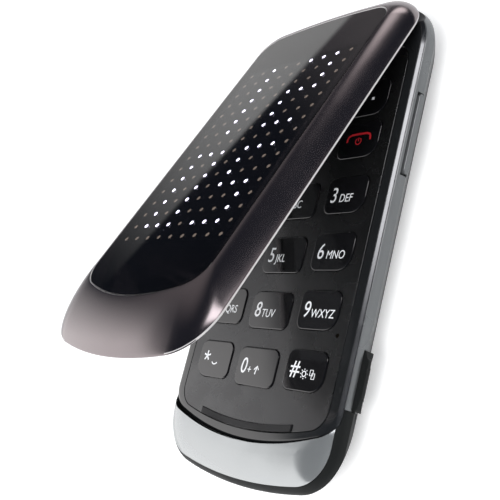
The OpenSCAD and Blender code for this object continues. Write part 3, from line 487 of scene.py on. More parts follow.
class Finish(Nodes):
    """A procedural material: a base colour with fine grain, uneven gloss and a fine bump."""

    def __init__(self, name, color, rough, metal=0.0, coat=0.0, grain=0.08, grain_scale=5000.0, haze=0.2,
                 bump=0.03, stretch=(1, 1, 1), ior=1.45):
        self.material = bpy.data.materials.new(name)
        self.material.use_nodes = True
        self.tree = self.material.node_tree
        self.shader = fill(self.tree.nodes["Principled BSDF"], {
            "Metallic": metal, "Coat Weight": coat, "Coat Roughness": COAT_ROUGH, "IOR": ior})
        mapping = fill(self.node("ShaderNodeMapping"), {"Scale": stretch})
        self.link(self.node("ShaderNodeTexCoord").outputs["Object"], mapping.inputs["Vector"])
        self.coords = mapping.outputs["Vector"]
        fine = self.noise(grain_scale, GRAIN_DETAIL)
        broad = self.noise(HAZE_SCALE, HAZE_DETAIL)
        dark = tuple(c * (1 - grain) for c in color)
        light = tuple(min(1, c * (1 + grain)) for c in color)
        self.color = self.mix(fine, dark, light)
        self.link(self.color, self.shader.inputs["Base Color"])
        self.link(self.ramp(broad, NOISE_LOW, NOISE_HIGH, rough * (1 - haze), rough * (1 + haze)),
                  self.shader.inputs["Roughness"])
        if bump:
            node = fill(self.node("ShaderNodeBump"), {"Strength": bump, "Distance": BUMP_DEPTH})
            self.link(fine, node.inputs["Height"])
            self.link(node.outputs["Normal"], self.shader.inputs["Normal"])

    def noise(self, scale, detail):
        node = fill(self.node("ShaderNodeTexNoise"), {"Scale": scale, "Detail": detail})
        self.link(self.coords, node.inputs["Vector"])
        return node.outputs["Fac"]


def shade(name, color, rough, **more):
    return Finish(name, color, rough, **more).material


def glowing(name, color, strength, rough=0.3):
    """A finish that also gives light of its own colour."""
    made = Finish(name, color, rough, grain=0.1)
    fill(made.shader, {"Emission Strength": strength})
    made.link(made.color, made.shader.inputs["Emission Color"])
    return made.material


def glass(name, tint):
    made = Finish(name, tint, 0.02, grain=0.03, grain_scale=900, bump=0.0)
    fill(made.shader, {"Transmission Weight": 1})
    return made.material


lid_metal = shade("lid_metal", (0.26, 0.23, 0.235), 0.2, metal=1.0, coat=0.2, grain=0.05, haze=0.1,
                  bump=0.0)
# a light grey that paints the highlights along the lid's rim, the window's edge and the socket cover's recess
painted_highlight_grey = shade("painted_highlight_grey", (0.62, 0.60, 0.60), 0.4, metal=0.3, grain=0.03, bump=0.0)
window_black = glass("window_black", (0.16, 0.16, 0.17))
pocket_black = shade("pocket_black", (0.008, 0.008, 0.009), 0.6)
housing_grey = shade("housing_grey", (0.17, 0.178, 0.182), 0.3, metal=0.7, coat=0.15, grain=0.05)
frame_dark = shade("frame_dark", (0.012, 0.013, 0.013), 0.4, grain=0.1, ior=1.2)
rear_grey = shade("rear_grey", (0.045, 0.047, 0.05), 0.42, coat=0.1, bump=0.12, grain_scale=3500)
bezel_black = shade("bezel_black", (0.012, 0.013, 0.014), 0.13, coat=0.8, grain=0.2, bump=0.0)
# a lighter, more metallic copy of the bezel's black for its outer slope: a painted highlight over the real
# reflection
bezel_highlight_metal = shade("bezel_highlight_metal", (0.17, 0.175, 0.18), 0.2, metal=0.9, coat=0.5, grain=0.05, bump=0.0)
panel_grey = shade("panel_grey", (0.125, 0.126, 0.128), 0.27, metal=0.95, grain=0.2, grain_scale=7000,
                   bump=0.1)
key_black = shade("key_black", (0.006, 0.006, 0.007), 0.08, coat=1.0, grain=0.3, bump=0.0)
chin_silver = shade("chin_silver", (0.43, 0.45, 0.455), 0.18, metal=0.7, coat=0.4, grain=0.03)
rubber_black = shade("rubber_black", (0.016, 0.016, 0.017), 0.5, bump=0.2)
steel = shade("steel", (0.42, 0.42, 0.43), 0.28, metal=1.0, stretch=(1, 12, 12))
gold = shade("gold", (0.75, 0.52, 0.2), 0.25, metal=1.0)
board_green = shade("board_green", (0.02, 0.10, 0.04), 0.45, grain=0.4, grain_scale=900)
inner_black = shade("inner_black", (0.014, 0.014, 0.015), 0.32, grain=0.3, bump=0.15)
display_grey = shade("display_grey", (0.03, 0.032, 0.038), 0.12, coat=1.0, bump=0.0)
flex_amber = shade("flex_amber", (0.45, 0.16, 0.03), 0.35, grain=0.2, grain_scale=1500)
battery_grey = shade("battery_grey", (0.12, 0.13, 0.15), 0.5)
nav_metal = shade("nav_metal", (0.16, 0.16, 0.17), 0.24, metal=0.9, coat=0.2)
legend_white = glowing("legend_white", (0.72, 0.73, 0.75), 0.35, 0.4)
legend_red = glowing("legend_red", (0.40, 0.012, 0.018), 0.3, 0.4)
legend_green = glowing("legend_green", (0.03, 0.30, 0.06), 0.3, 0.4)
lamp_lit = glowing("lamp_lit", (0.84, 0.80, 1.0), 26)
lamp_dim = glowing("lamp_dim", (0.30, 0.24, 0.19), 5.0)

# ---------- base ----------


def base_heights(z0, z1):
    """Heights from z0 to z1 with the widest line among them."""
    wide = min(max(wide_z, z0), z1)
    low = np.linspace(z0, wide, SIDE_LOW_N + 1)[:-1] if wide > z0 else []
    high = np.linspace(wide, z1, SIDE_HIGH_N + 1)[1:] if z1 > wide else []
    return [*low, wide, *high]


def base_loft(z0, z1, inset, low_edge=0.0, high_edge=0.0):
    """Slice of the base's form between two heights, moved in by inset, with its edges broken."""
    rings = [(z, base_outline(z, inset)) for z in base_heights(z0 + low_edge, z1 - high_edge)]
    if low_edge:
        rings.insert(0, (z0, base_outline(z0, inset + low_edge)))
    if high_edge:
        rings.append((z1, base_outline(z1, inset + high_edge)))
    return loft(rings)


# column and row of each key; the rows count up from the chin
KEYS = {
    "1": (-1, 3), "2": (0, 3), "3": (1, 3), "4": (-1, 2), "5": (0, 2), "6": (1, 2),
    "7": (-1, 1), "8": (0, 1), "9": (1, 1), "star": (-1, 0), "0": (0, 0), "hash": (1, 0),
    "send": (-1, 4), "end": (1, 4), "soft_left": (-1, 5), "soft_right": (1, 5),
}


def key_holes(grow, z0, z1, flare=0.0):
    """Two cutters, for the keys and for the navigation ring, wider at their upper end by flare."""

    def hole(shape):
        if not flare:
            return slab(z0, z1, shape(grow))
        return loft([(z0, shape(grow)), (z1 - flare, shape(grow)), (z1 + flare, shape(grow + 2 * flare))])

    return (bundle([hole(lambda g: key_outline(*k, g)) for k in KEYS.values()]),
            hole(lambda g: circle(0, nav_y, nav_r + g)))


def posts(r, z0, z1):
    """Rods at the four housing screws."""
    return bundle([cylinder(x, y, r, z0, z1) for x in (-post_x, post_x) for y in (post_y, -post_y)])


def side_box(x0, x1, y, z, half_l, half_h):
    """A box about the point y, z of the sides."""
    return box(x0, x1, y - half_l, y + half_l, z - half_h, z + half_h)


def vol_box(x0, x1, along, up):
    return side_box(x0, x1, vol_y, vol_z, vol_l / 2 + along, vol_h / 2 + up)


# the socket cover's rounded upper end, and its way out from the pivot
CROWN_R, CROWN_L, CROWN_TURN, CROWN_N = 1.2, 2.4, 62, 6
FLAP_TURN_N, FLAP_RISE, FLAP_LIP = 16, 1.8, 0.2


def flap_points(grow):
    """The socket cover from above: round its pivot, out to its face, and back over its crown."""
    x_in = flap_axis_x - flap_pivot_r - grow
    x_out = body_w / 2 + flap_out
    high = flap_y + flap_l / 2
    turn = arc((flap_axis_x, flap_axis_y), flap_pivot_r + grow, 180, 360, FLAP_TURN_N)
    crown = arc((x_out - CROWN_R, high - CROWN_L), CROWN_R, 0, CROWN_TURN, CROWN_N)
    return np.vstack([turn, [(x_out, flap_axis_y + FLAP_RISE)], crown,
                      [(body_w / 2 + FLAP_LIP, high + grow), (x_in, high + grow)]])


def flap_slab(grow, edge=0.0):
    z0, z1 = usb_z - flap_h / 2 - grow, usb_z + flap_h / 2 + grow
    return rounded_slab(z0, z1, lambda i: flap_points(grow - i), edge, edge)


def flap_slant(depth=0.0):
    """What the leaning face takes off the flap; depth moves it in."""
    rise = flap_h - flap_upright
    tool = slab(-BIG, BIG, [(-2 * flap_lean, -rise), (BIG, -rise), (BIG, rise), (0, rise)])
    tool.data.transform(Matrix.Translation((body_w / 2 + flap_out - depth, 0, usb_z - flap_h / 2))
                        @ Matrix.Rotation(pi / 2, 4, "X"))
    return tool


def flex_way():
    """Way of the flex cable up the web."""
    return box(-slot_w, slot_w, flex_y - slot_h / 2, flex_y + slot_h / 2, sheet_z, hinge_z + slot_h / 2)


def jack_hole():
    """Room for the headset jack's body, out through the left side."""
    z = board_z - jack_r - jack_wall
    nose = body_w / 2 - side_in(z - jack_r - jack_wall) - gap
    return x_rod(jack_r + jack_wall + gap, -BIG, wall - nose, hinge_y - jack_back, z)


def hinge_groove():
    """Room for the lid's round hinge end to turn in."""
    return x_rod(cut_r, -BIG, BIG, hinge_y, hinge_z)


# how far edges are broken: where the housings meet, under the bezel and at the barrel's ends
SPLIT_EDGE, SEAM_EDGE, BARREL_EDGE = 0.12, 0.14, 0.15
FLANK_LAP = 1  # how far the deck reaches past the flanks' line


def front_housing():
    shell = cut(base_loft(split_z, seam_z, 0, SPLIT_EDGE, SEAM_EDGE),
                base_loft(split_z - EPS, deck_z + EPS, wall), chinward(flank_y))
    shell = add(shell, keep(slab(deck_z, seam_z - EPS, deck_outline(0)), chinward(flank_y + FLANK_LAP)))
    shell = add(shell, keep(slab(deck_z - groove_t, deck_z + 5 * EPS, deck_outline(0)),
                            hingeward(web_y + web_t)))
    shell = cut(shell, *key_holes(flange + well_gap, deck_z - EPS, BIG),
                cylinder(mic_x, mic_y, mic_r + gap, deck_z - EPS, BIG), hinge_groove(),
                box(-BIG, BIG, hinge_y, BIG, seam_z - hinge_gap, BIG), posts(screw_r, -1, seam_z - post_cap),
                vol_box(vol_x - vol_room, BIG, gap, gap),
                vol_box(vol_x - vol_room, vol_x + vol_swing, vol_lip_y + 2 * vol_play,
                        vol_lip_z + vol_play),
                side_box(socket_x - usb_d, BIG, usb_y, usb_z, usb_w / 2 + gap, usb_h / 2 + gap),
                flap_slab(gap), jack_hole(), flex_way())
    barrel = add(x_rod(barrel_r, -barrel_x, barrel_x, hinge_y, hinge_z, BARREL_EDGE),
                 box(-barrel_x, barrel_x, web_y, hinge_y, hinge_z - web_down, hinge_z + web_up),
                 box(-barrel_x, barrel_x, web_y, web_y + web_t, deck_z - EPS, hinge_z + web_up))
    barrel = cut(barrel, x_rod(pin_r, -BIG, BIG, hinge_y, hinge_z), flex_way())
    finish("front_housing_shell", add(shell, barrel), "base", housing_grey, ["front_housing"])


# the bezel's outer side: height above the seam, and how far in
BEZEL_SIDE = [(0, 0.1), (0.05, 0.03), (0.11, 0.01), (0.17, 0.05), (0.25, 0.12), (0.33, 0.21), (0.41, 0.31),
              (0.49, 0.42), (0.57, 0.54), (0.64, 0.67), (0.7, 0.82), (0.745, 1), (0.775, 1.3), (0.79, 2.1),
              (0.8, 3.2)]
# at the chin it goes in by these shares of that, along the edge and in its corners
BEZEL_CHIN_SHARE, BEZEL_CORNER_SHARE = 0.75, 0.3
# the opening's edge flares from below the panel's face to above it
FLARE_LOW, FLARE_HIGH = 0.16, 0.14
# width of the slope on the sides that gets a lighter metal finish, a painted highlight over its own
# reflection, and how far its faces lean
SLOPE_W, SLOPE_STEEP, SLOPE_FLAT = 0.8, 0.3, 0.93


def keypad_bezel():
    bezel = loft([(seam_z + up, outline(
        body_w / 2 - seam_in - i, body_l / 2 - seam_in - i, hinge_corner - i, hinge_bow,
        chin_y + gap + BEZEL_CHIN_SHARE * i, max(1, chin_edge_corner - BEZEL_CORNER_SHARE * i),
        chin_edge_bow)) for up, i in BEZEL_SIDE])
    opening = loft([(-BIG, panel_outline(-gap / 2)), (panel_z - FLARE_LOW, panel_outline(-gap / 2)),
                    (panel_z + FLARE_HIGH, panel_outline(-gap / 2 - FLARE_LOW - FLARE_HIGH))])
    bezel = cut(bezel, opening, hingeward(hinge_y), hinge_groove(),
                box(-barrel_x - gap, barrel_x + gap, web_y - gap, BIG, -BIG, BIG))

    # the sides' outer slope takes the lighter metal: a painted highlight
    def bezel_highlight_faces(face):
        beside = abs(face.center.x) > body_w / 2 - seam_in - SLOPE_W
        return beside and SLOPE_STEEP < face.normal.z < SLOPE_FLAT

    finish("bezel", bezel, "base", bezel_black, ["keypad_bezel"], second=bezel_highlight_metal,
           chosen=bezel_highlight_faces)


def bar_shape(inset):
    """Outline of the bar in the panel's lower edge, following it."""
    inner, outer = panel_outline(-inset) + (0, bar_w), panel_outline(inset)

    def lower(points):
        kept = points[points[:, 1] < 0]
        return kept[np.argsort(kept[:, 0])]

    xs = np.linspace(-bar_x + inset, bar_x - inset, BAR_N + 1)
    low, high = lower(outer), lower(inner)
    up = np.column_stack([xs, np.interp(xs, low[:, 0], low[:, 1])])
    down = np.column_stack([xs, np.interp(xs, high[:, 0], high[:, 1])])[::-1]
    return np.vstack([up, down])


BAR_EDGE, PANEL_EDGE, HOLE_FLARE = 0.16, 0.1, 0.05


def panel_bar():
    bar = rounded_slab(panel_z - bar_deep, panel_z + bar_proud, lambda i: bar_shape(gap / 2 + i), 0,
                       BAR_EDGE)
    finish("bar", bar, "base", rubber_black, ["panel_bumper"])


def keypad_panel():
    panel = rounded_slab(seam_z, panel_z, panel_outline, 0, PANEL_EDGE)
    panel = cut(panel, *key_holes(key_gap, seam_z - 1, panel_z, HOLE_FLARE),
                cylinder(mic_x, mic_y, mic_hole, -BIG, BIG), slab(panel_z - bar_deep, BIG, bar_shape(0)))
    finish("panel", panel, "base", panel_grey, ["keypad_panel"])


# the cap's broken edges, its fit in the housing, and the steepness from which it takes the dark frame finish:
# painted shade on its lower front, and dark on its joint walls
CAP_EDGE, CAP_EDGE_ANGLE, CAP_FIT, CAP_STEEP = 0.14, 50, 0.04, 0.5


def chin_form(drop):
    """The chin's round top, lowered by drop and cut off at the bezel, deck and flanks."""
    rings = [chin_ring(t) for t in np.linspace(0, 90, CHIN_N + 1)]
    form = loft([(z - drop, points) for z, points in rings])
    return cut(form, slab(seam_z - gap, BIG, chin_line()), slab(-BIG, seam_z, deck_outline(-gap)),
               hingeward(flank_y - gap))


def cap_room(inset, z):
    """Room of the bright cap inside the chin housing, from height z up."""
    return slab(z, BIG, outline(body_w / 2 - cap_in - inset, body_l / 2, hinge_corner, hinge_bow,
                                -body_l / 2 + cap_in + inset, chin_corner - cap_in, chin_bow))


def chin():
    low = cut(base_loft(split_z, wide_z + EPS, 0, SPLIT_EDGE), slab(-BIG, BIG, deck_outline(-gap)),
              hingeward(flank_y - gap))
    housing = cut(add(chin_form(0), low), cap_room(-CAP_FIT, shelf_z + shelf_t),
                  base_loft(split_z - EPS, shelf_z, wall))
    finish("chin_frame", housing, "base", frame_dark, ["chin_housing"])
    hollow = keep(chin_form(cap_t), cap_room(cap_t, -BIG), chinward(chin_y - cap_t))
    cap = cut(keep(chin_form(0), cap_room(gap / 2, shelf_z + shelf_t)), hollow)
    # the cap's steep faces take the dark frame finish: painted shade where the chin turns down, and its dark
    # joint walls
    finish("chin_top", soften(cap, CAP_EDGE, CAP_EDGE_ANGLE), "base", chin_silver, ["chin_cap"],
           second=frame_dark, chosen=lambda face: face.normal.z < CAP_STEEP)


KEY_EDGE, OK_EDGE, NAV_EDGE, KEY_EDGE_N, NAV_FLARE = 0.2, 0.25, 0.3, 4, 0.15
# how far a cap reaches into its flange, and a nub into both
CAP_SINK, NUB_SINK = 0.1, 0.2


def keys():
    for name, (column, row) in KEYS.items():
        body = "key_" + name
        cap = rounded_slab(flange_z + CAP_SINK, key_top, lambda i: key_outline(column, row, -i), 0, KEY_EDGE,
                           KEY_EDGE_N)
        foot = slab(flange_z, flange_z + flange_t, key_outline(column, row, flange))
        nub = cylinder(column * col_pitch, key_y(column, row), nub_r, flange_z - nub_h, flange_z + NUB_SINK)
        finish(body + "_cap", add(foot, cap, nub), body, key_black, [body])
    disc = rounded_slab(flange_z, key_top, lambda i: circle(0, nav_y, nav_r - i), 0, NAV_EDGE, KEY_EDGE_N)
    mouth = ok_r + ring_gap
    ring = cut(disc, loft([(-BIG, circle(0, nav_y, mouth)), (key_top - NAV_FLARE, circle(0, nav_y, mouth)),
                           (key_top + NAV_FLARE, circle(0, nav_y, mouth + 2 * NAV_FLARE))]),
               cylinder(0, nav_y, ok_r + flange + well_gap, -BIG, flange_z + flange_t + ring_gap))
    finish("nav_ring_cap", ring, "nav_ring", nav_metal, ["nav_ring"])
    ok = add(rounded_slab(flange_z + CAP_SINK, key_top, lambda i: circle(0, nav_y, ok_r - i), 0, OK_EDGE,
                          KEY_EDGE_N),
             cylinder(0, nav_y, ok_r + flange, flange_z, flange_z + flange_t - ring_gap))
    finish("nav_ok_cap", ok, "nav_ok", key_black, ["nav_ok"])


# ---------- legends ----------

DIGIT_H, LETTER_H, LEGEND_T, LEGEND_SLANT, LEGEND_SQUEEZE = 3.3, 1.75, 0.02, 0.1, 0.86
CAP_SHARE = 0.69  # height of the font's capitals as a share of its size
LEGEND_IN, LEGEND_BASE, LETTER_GAP, LETTER_GAP_SMALL = 1.5, -1.55, 0.9, 0.4
THICK, MIDDLE, FINE, FINEST = 0.36, 0.26, 0.2, 0.18
HANDSET_LINE, POWER_LINE, SOFT_LINE = 0.45, 0.24, 0.6
LETTERS = {"1": "", "2": "ABC", "3": "DEF", "4": "GHI", "5": "JKL", "6": "MNO", "7": "PQRS", "8": "TUV",
           "9": "WXYZ", "0": "+"}


def lettering(words, height, x):
    """Slanted lettering as a thin solid lying in the plane z = 0, from x on, and where it ends."""
    curve = bpy.data.curves.new("lettering", "FONT")
    curve.body = words
    curve.size = height / CAP_SHARE
    curve.shear = LEGEND_SLANT
    curve.extrude = LEGEND_T
    curve.resolution_u = 4
    holder = linked(curve)
    mesh = shown(holder)
    bpy.data.objects.remove(holder)
    start = min(v.co.x for v in mesh.vertices)
    mesh.transform(Matrix.Diagonal((LEGEND_SQUEEZE, 1, 1, 1)) @ Matrix.Translation((-start, 0, 0)))
    end = max(v.co.x for v in mesh.vertices)
    mesh.transform(Matrix.Translation((x, LEGEND_BASE, 0)))
    return linked(mesh), x + end


def stroke(points, width, closed=False):
    """Thin solid along a line in the plane z = 0."""
    points = np.array(points, float)
    n = len(points)
    first, last = points[:1], points[-1:]
    path = np.vstack([last, points, first] if closed else [first, points, last])
    along = path[2:] - path[:-2]
    along /= np.linalg.norm(along, axis=1)[:, None]
    side = np.column_stack([-along[:, 1], along[:, 0]]) * width / 2
    rings = [[(*(p + d * o), z) for d, z in ((1, -LEGEND_T), (1, LEGEND_T), (-1, LEGEND_T), (-1, -LEGEND_T))]
             for p, o in zip(points, side)]
    verts = [v for ring in rings for v in ring]
    faces = [(i * 4 + j, i * 4 + (j + 1) % 4, (i + 1) % n * 4 + (j + 1) % 4, (i + 1) % n * 4 + j)
             for i in range(n if closed else n - 1) for j in range(4)]
    if not closed:
        faces += [(3, 2, 1, 0), tuple(range(4 * n - 4, 4 * n))]
    return solid(verts, faces)


# right half of a receiver lying face down, and the height of its middle on the key
RECEIVER, RECEIVER_Y = [(0, 0.75), (2.1, 0.7), (2.9, 0.4), (3.15, -0.1), (3.2, -0.9)], 0.6


def handset(ending):
    """A telephone receiver, with a power sign below it on the end key."""
    y = RECEIVER_Y
    left = [(-dx, y + dy) for dx, dy in RECEIVER[:0:-1]]
    parts = [stroke(left + [(dx, y + dy) for dx, dy in RECEIVER], HANDSET_LINE)]
    if ending:
        parts += [stroke(arc((0, y - 0.9), 0.75, 125, 415, 16), POWER_LINE),
                  stroke([(0, y - 0.1), (0, y - 0.9)], POWER_LINE)]
    return parts


def digit_marks(name, left):
    """A digit and its letters, with an arrowhead beside the plus sign of the 0."""
    digit, end = lettering(name, DIGIT_H, left)
    parts = [digit]
    if LETTERS[name]:
        roomy = KEYS[name][0] and len(LETTERS[name]) < 4
        parts.append(lettering(LETTERS[name], LETTER_H, end + (LETTER_GAP if roomy else LETTER_GAP_SMALL))[0])
    if name == "0":
        x, y = end + 2.9, LEGEND_BASE
        parts += [stroke([(x, y), (x + 0.35, y + 1.5)], MIDDLE),
                  stroke([(x - 0.45, y + 0.95), (x + 0.42, y + 1.75), (x + 0.95, y + 0.95)], MIDDLE)]
    return parts


def star_marks(left):
    """A star with a small arc beside it."""
    x, y, arm = left + 1.2, 0.55, 1.15
    parts = [stroke([(x, y), (x + arm * cos(a), y + arm * sin(a))], THICK)
             for a in np.radians([90, 162, 234, 306, 18])]
    return parts + [stroke(arc((x + 3.0, y - 0.6), 1.1, 215, 325, 8), MIDDLE)]


def hash_marks(left):
    """A number sign, a small sun and two frames."""
    parts = []
    for k in (-1, 1):
        x, y = left + 1.3 + 0.5 * k, LEGEND_BASE + 1.65 + 0.5 * k
        parts += [stroke([(x - 0.4, LEGEND_BASE), (x + 0.4, LEGEND_BASE + DIGIT_H)], THICK),
                  stroke([(left, y), (left + 2.7, y)], THICK)]
    x, y = left + 4.1, LEGEND_BASE + 0.95
    parts.append(stroke(arc((x, y), 0.52, 0, 360, 14)[:-1], FINE, True))
    parts += [stroke([(x + r * cos(a), y + r * sin(a)) for r in (0.8, 1.05)], FINE)
              for a in np.radians(np.arange(0, 360, 45))]
    for dx, dy in ((2.0, 0.35), (2.55, -0.3)):
        corners = [(x + dx + sx * 0.4, y + dy + sy * 0.55) for sx, sy in ((-1, -1), (1, -1), (1, 1), (-1, 1))]
        parts.append(stroke(corners, FINEST, True))
    return parts


def marks(name):
    """The marks of a key in its own plane, from its middle, and their finish."""
    left = -(outer_w if KEYS[name][0] else mid_w) / 2 + LEGEND_IN
    if name in LETTERS:
        return digit_marks(name, left), legend_white
    if name == "star":
        return star_marks(left), legend_white
    if name == "hash":
        return hash_marks(left), legend_white
    if name == "send":
        return handset(False), legend_green
    if name == "end":
        return handset(True), legend_red
    return [stroke([(1.1, -0.25), (1.8, -0.25)], SOFT_LINE)], legend_white


def legends():
    for name, (column, row) in KEYS.items():
        parts, material = marks(name)
        sheet = bundle(parts)
        sheet.data.transform(Matrix.Translation((column * col_pitch, key_y(column, row), key_top)))
        finish("key_" + name + "_legend", sheet, "key_" + name, material)


# ---------- sides ----------


VOL_EDGE, VOL_END_SHARE, VOL_END_N = 0.3, 0.98, 12
# turns a slab so that its upper face looks to the right
TO_RIGHT = Matrix(((0, 0, 1, 0), (1, 0, 0, 0), (0, 1, 0, 0), (0, 0, 0, 1)))
FLAP_EDGE, FLAP_ROUND, FLAP_EDGE_ANGLE = 0.2, 0.14, 30
# recess in the cover's face for a finger nail, and how far inside its edges a face gets the painted highlight
RECESS_W, RECESS_L, RECESS_LOW, RECESS_HIGH, RECESS_T = 6, 6.4, 0.9, 0.5, 0.2
BRIGHT_IN_Y, BRIGHT_IN_Z, BRIGHT_STEEP = 0.1, 0.05, 0.5


def volume_key():
    def shape(i):
        half_l, half_h = vol_l / 2 - vol_swing - i, vol_h / 2 - gap / 2 - i
        r = half_h * VOL_END_SHARE
        return np.vstack([arc((half_l - r, 0), r, -90, 90, VOL_END_N),
                          arc((-half_l + r, 0), r, 90, 270, VOL_END_N)])

    key = rounded_slab(vol_x, body_w / 2 + vol_out, shape, 0, VOL_EDGE)
    key.data.transform(Matrix.Translation((0, vol_y, vol_z)) @ TO_RIGHT)
    foot = vol_box(vol_x - vol_foot, vol_x + EPS, vol_lip_y, vol_lip_z)
    finish("volume_cap", add(key, foot), "volume_key", housing_grey, ["volume_key"])


def socket_cover():
    flap = soften(cut(flap_slab(0, FLAP_EDGE), flap_slant()), FLAP_ROUND, FLAP_EDGE_ANGLE)
    recess = keep(block(body_w / 2 + flap_out, usb_y, RECESS_W, RECESS_L, usb_z - RECESS_LOW,
                        usb_z + RECESS_HIGH), flap_slant(RECESS_T))

    # outward faces in the recess get a light grey: a painted highlight
    def recess_highlight_faces(face):
        along, up = abs(face.center.y - usb_y), face.center.z - usb_z
        return (along < RECESS_L / 2 - BRIGHT_IN_Y and face.normal.x > BRIGHT_STEEP
                and BRIGHT_IN_Z - RECESS_LOW < up < RECESS_HIGH - BRIGHT_IN_Z)

    plug = side_box(socket_x + gap, flap_axis_x, usb_y, usb_z, plug_w / 2, plug_t / 2)
    finish("socket_flap", add(cut(flap, recess), plug), "usb_cover", frame_dark, ["usb_cover"],
           second=painted_highlight_grey, chosen=recess_highlight_faces)


# ---------- back ----------

COVER_EDGE = 0.1


def back():
    cover = keep(base_loft(0, split_z - gap, 0, 0, COVER_EDGE), chinward(cover_y - gap))
    tabs = bundle([block(x, cover_y, tab_w, 2 * tab_l, cover_t - tab_t, cover_t) for x in (-tab_x, tab_x)])
    cover = cut(add(cover, tabs), base_loft(cover_t, split_z + EPS, cover_t))
    finish("cover", cover, "battery_cover", rear_grey, ["battery_cover"])


# ---------- lid ----------

# round of the rim, broken edges, and the turn at which the shoulder's last ring but one stands
RIM_R, EDGE, KNUCKLE_EDGE, WINDOW_EDGE, LAST_TURN = 0.28, 0.16, 0.2, 0.12, 89
LAMP_MARGIN = 3  # from the outer lamps' middles, on both sides together
# painted highlight, in a light grey: the rim up to this height but for its ends and level faces, and the
# window's edge
RIM_LINE, RIM_END, RIM_LEVEL, WINDOW_STEEP, WINDOW_LEVEL = 0.45, 0.6, 0.97, 0.3, 0.95


def lid_shell():
    start = degrees(asin((RIM_R / lid_h) ** (1 / lid_bend)))
    rings = [lid_ring(start * a / 90, RIM_R * (1 - sin(radians(a))),
                      rim_z + RIM_R * (1 - cos(radians(a)))) for a in (0, 30, 60)]
    rings += [lid_ring(t) for t in np.linspace(start, LAST_TURN, SHOULDER_N + 1)]
    shell = loft(rings + [lid_ring(90)])
    for x in (mouth_w, -knuckle_end):
        knuckle = x_rod(hood_r, x, x + knuckle_l, hinge_y, hinge_z, KNUCKLE_EDGE)
        shell = add(shell, cut(knuckle, box(-BIG, BIG, -BIG, BIG, rim_z + knuckle_up, BIG)))
    room = loft([(rim_z - 1, cavity_ring(0)[1])]
                + [cavity_ring(t) for t in np.linspace(0, cavity_turn, CAVITY_N + 1)])
    pocket = loft([(window_z, window_outline(0)), (lid_top - EDGE, window_outline(0)),
                   (lid_top + EDGE, window_outline(-2 * EDGE))])
    lamp_room = block(0, lamp_y, (lamp_cols - 1) * lamp_px + LAMP_MARGIN,
                      (lamp_rows - 1) * lamp_py + LAMP_MARGIN, rim_z, BIG)
    bore = knuckle_end - knuckle_cap
    shell = cut(shell, room,
                box(-mouth_w, mouth_w, inner_high - 1, hinge_y, -BIG, hinge_z + web_up + 2 * web_room),
                box(-mouth_w, mouth_w, hinge_y - EPS, BIG, -BIG, hinge_z - mouth_lip),
                x_rod(hood_r - hood_t, -mouth_w, mouth_w, hinge_y, hinge_z),
                x_rod(pin_r + pin_fit, -bore, bore, hinge_y, hinge_z), pocket, lamp_room)

    # faces that get the painted highlight: the rim's lower edge and the window's edge
    def rim_highlight_faces(face):
        level = abs(face.normal.z) >= RIM_LEVEL or abs(face.normal.y) >= RIM_END
        if face.center.z < rim_z + RIM_LINE and not level:
            return True
        return face.center.z > lid_top - EDGE - EPS and WINDOW_STEEP < face.normal.z < WINDOW_LEVEL

    finish("lid_shell_skin", shell, LID_BODY, lid_metal, ["lid_shell"], smooth=25,
           second=painted_highlight_grey, chosen=rim_highlight_faces)


def lid_window():
    sheet = rounded_slab(window_z, lid_top, lambda i: window_outline(gap / 2 + i), 0, WINDOW_EDGE)
    finish("window", sheet, LID_BODY, window_black, ["lid_window"])


# the time that the lit lamps show: each digit with its left column and upper row
GLYPHS = {
    "0": ("###", "#.#", "#.#", "#.#", "#.#", "#.#", "###"),
    "1": (".#.", ".#.", ".#.", ".#.", ".#.", ".#.", ".#."),
    "2": ("###", "..#", "..#", "###", "#..", "#..", "###"),
    "5": ("###", "#..", "#..", "###", "..#", "..#", "###"),
}
CLOCK = (("1", 1, 15), ("2", 5, 15), ("0", 1, 7), ("5", 5, 7))
LENS_EDGE, LENS_N, LENS_EDGE_N, LENS_LEVEL = 0.12, 20, 2, 0.5


def lamps():
    lit = {(column + i, top - j) for glyph, column, top in CLOCK
           for j, line in enumerate(GLYPHS[glyph]) for i, mark in enumerate(line) if mark == "#"}
    sets = {True: [], False: []}
    for c in range(lamp_cols):
        for r in range(lamp_rows):
            x = (c - (lamp_cols - 1) / 2) * lamp_px
            y = lamp_y + (r - (lamp_rows - 1) / 2) * lamp_py
            lens = rounded_slab(lamp_z, window_z - gap / 2, lambda i: circle(x, y, lamp_r - i, LENS_N), 0,
                                LENS_EDGE, LENS_EDGE_N)
            sets[(c, r) in lit].append(lens)
    for name, lit_set, material in (("lamps_lit", True, lamp_lit), ("lamps_dim", False, lamp_dim)):
        finish(name, bundle(sets[lit_set]), LID_BODY, pocket_black, ["lamps"],
               second=material, chosen=lambda face: face.normal.z > LENS_LEVEL)


front_housing()
keypad_bezel()
panel_bar()
keypad_panel()
chin()
keys()
legends()
volume_key()
socket_cover()
back()
lid_shell()
lid_window()
lamps()

# ---------- nodes shown as they are ----------

KEPT = (
    (steel, "sim_holder shield_cans dome_sheet vibration_motor usb_socket hinge_module hinge_pivot "
            "housing_screws display earpiece lid_magnet lid_screws"),
    (rubber_black, "loudspeaker camera_module headset_jack lid_bumpers"),
    (gold, "antenna battery_contacts microphone"), (display_grey, "camera_window display_window"),
    (rear_grey, "rear_housing"), (battery_grey, "battery"), (board_green, "main_board"),
    (flex_amber, "flex_cable"), (pocket_black, "lamp_board"), (inner_black, "inner_cover"),
)
for material, nodes in KEPT:
    for node in nodes.split():
        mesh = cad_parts[node].data
        mesh.materials.clear()
        mesh.materials.append(material)

# ---------- stage, light and camera ----------

# lengths in metres from here on
FLOOR_HALF, FLOOR_DROP = 3, 0.00005
FLOOR_GLOW = 0.4  # seen by the camera, the floor is white but for the soft shadow

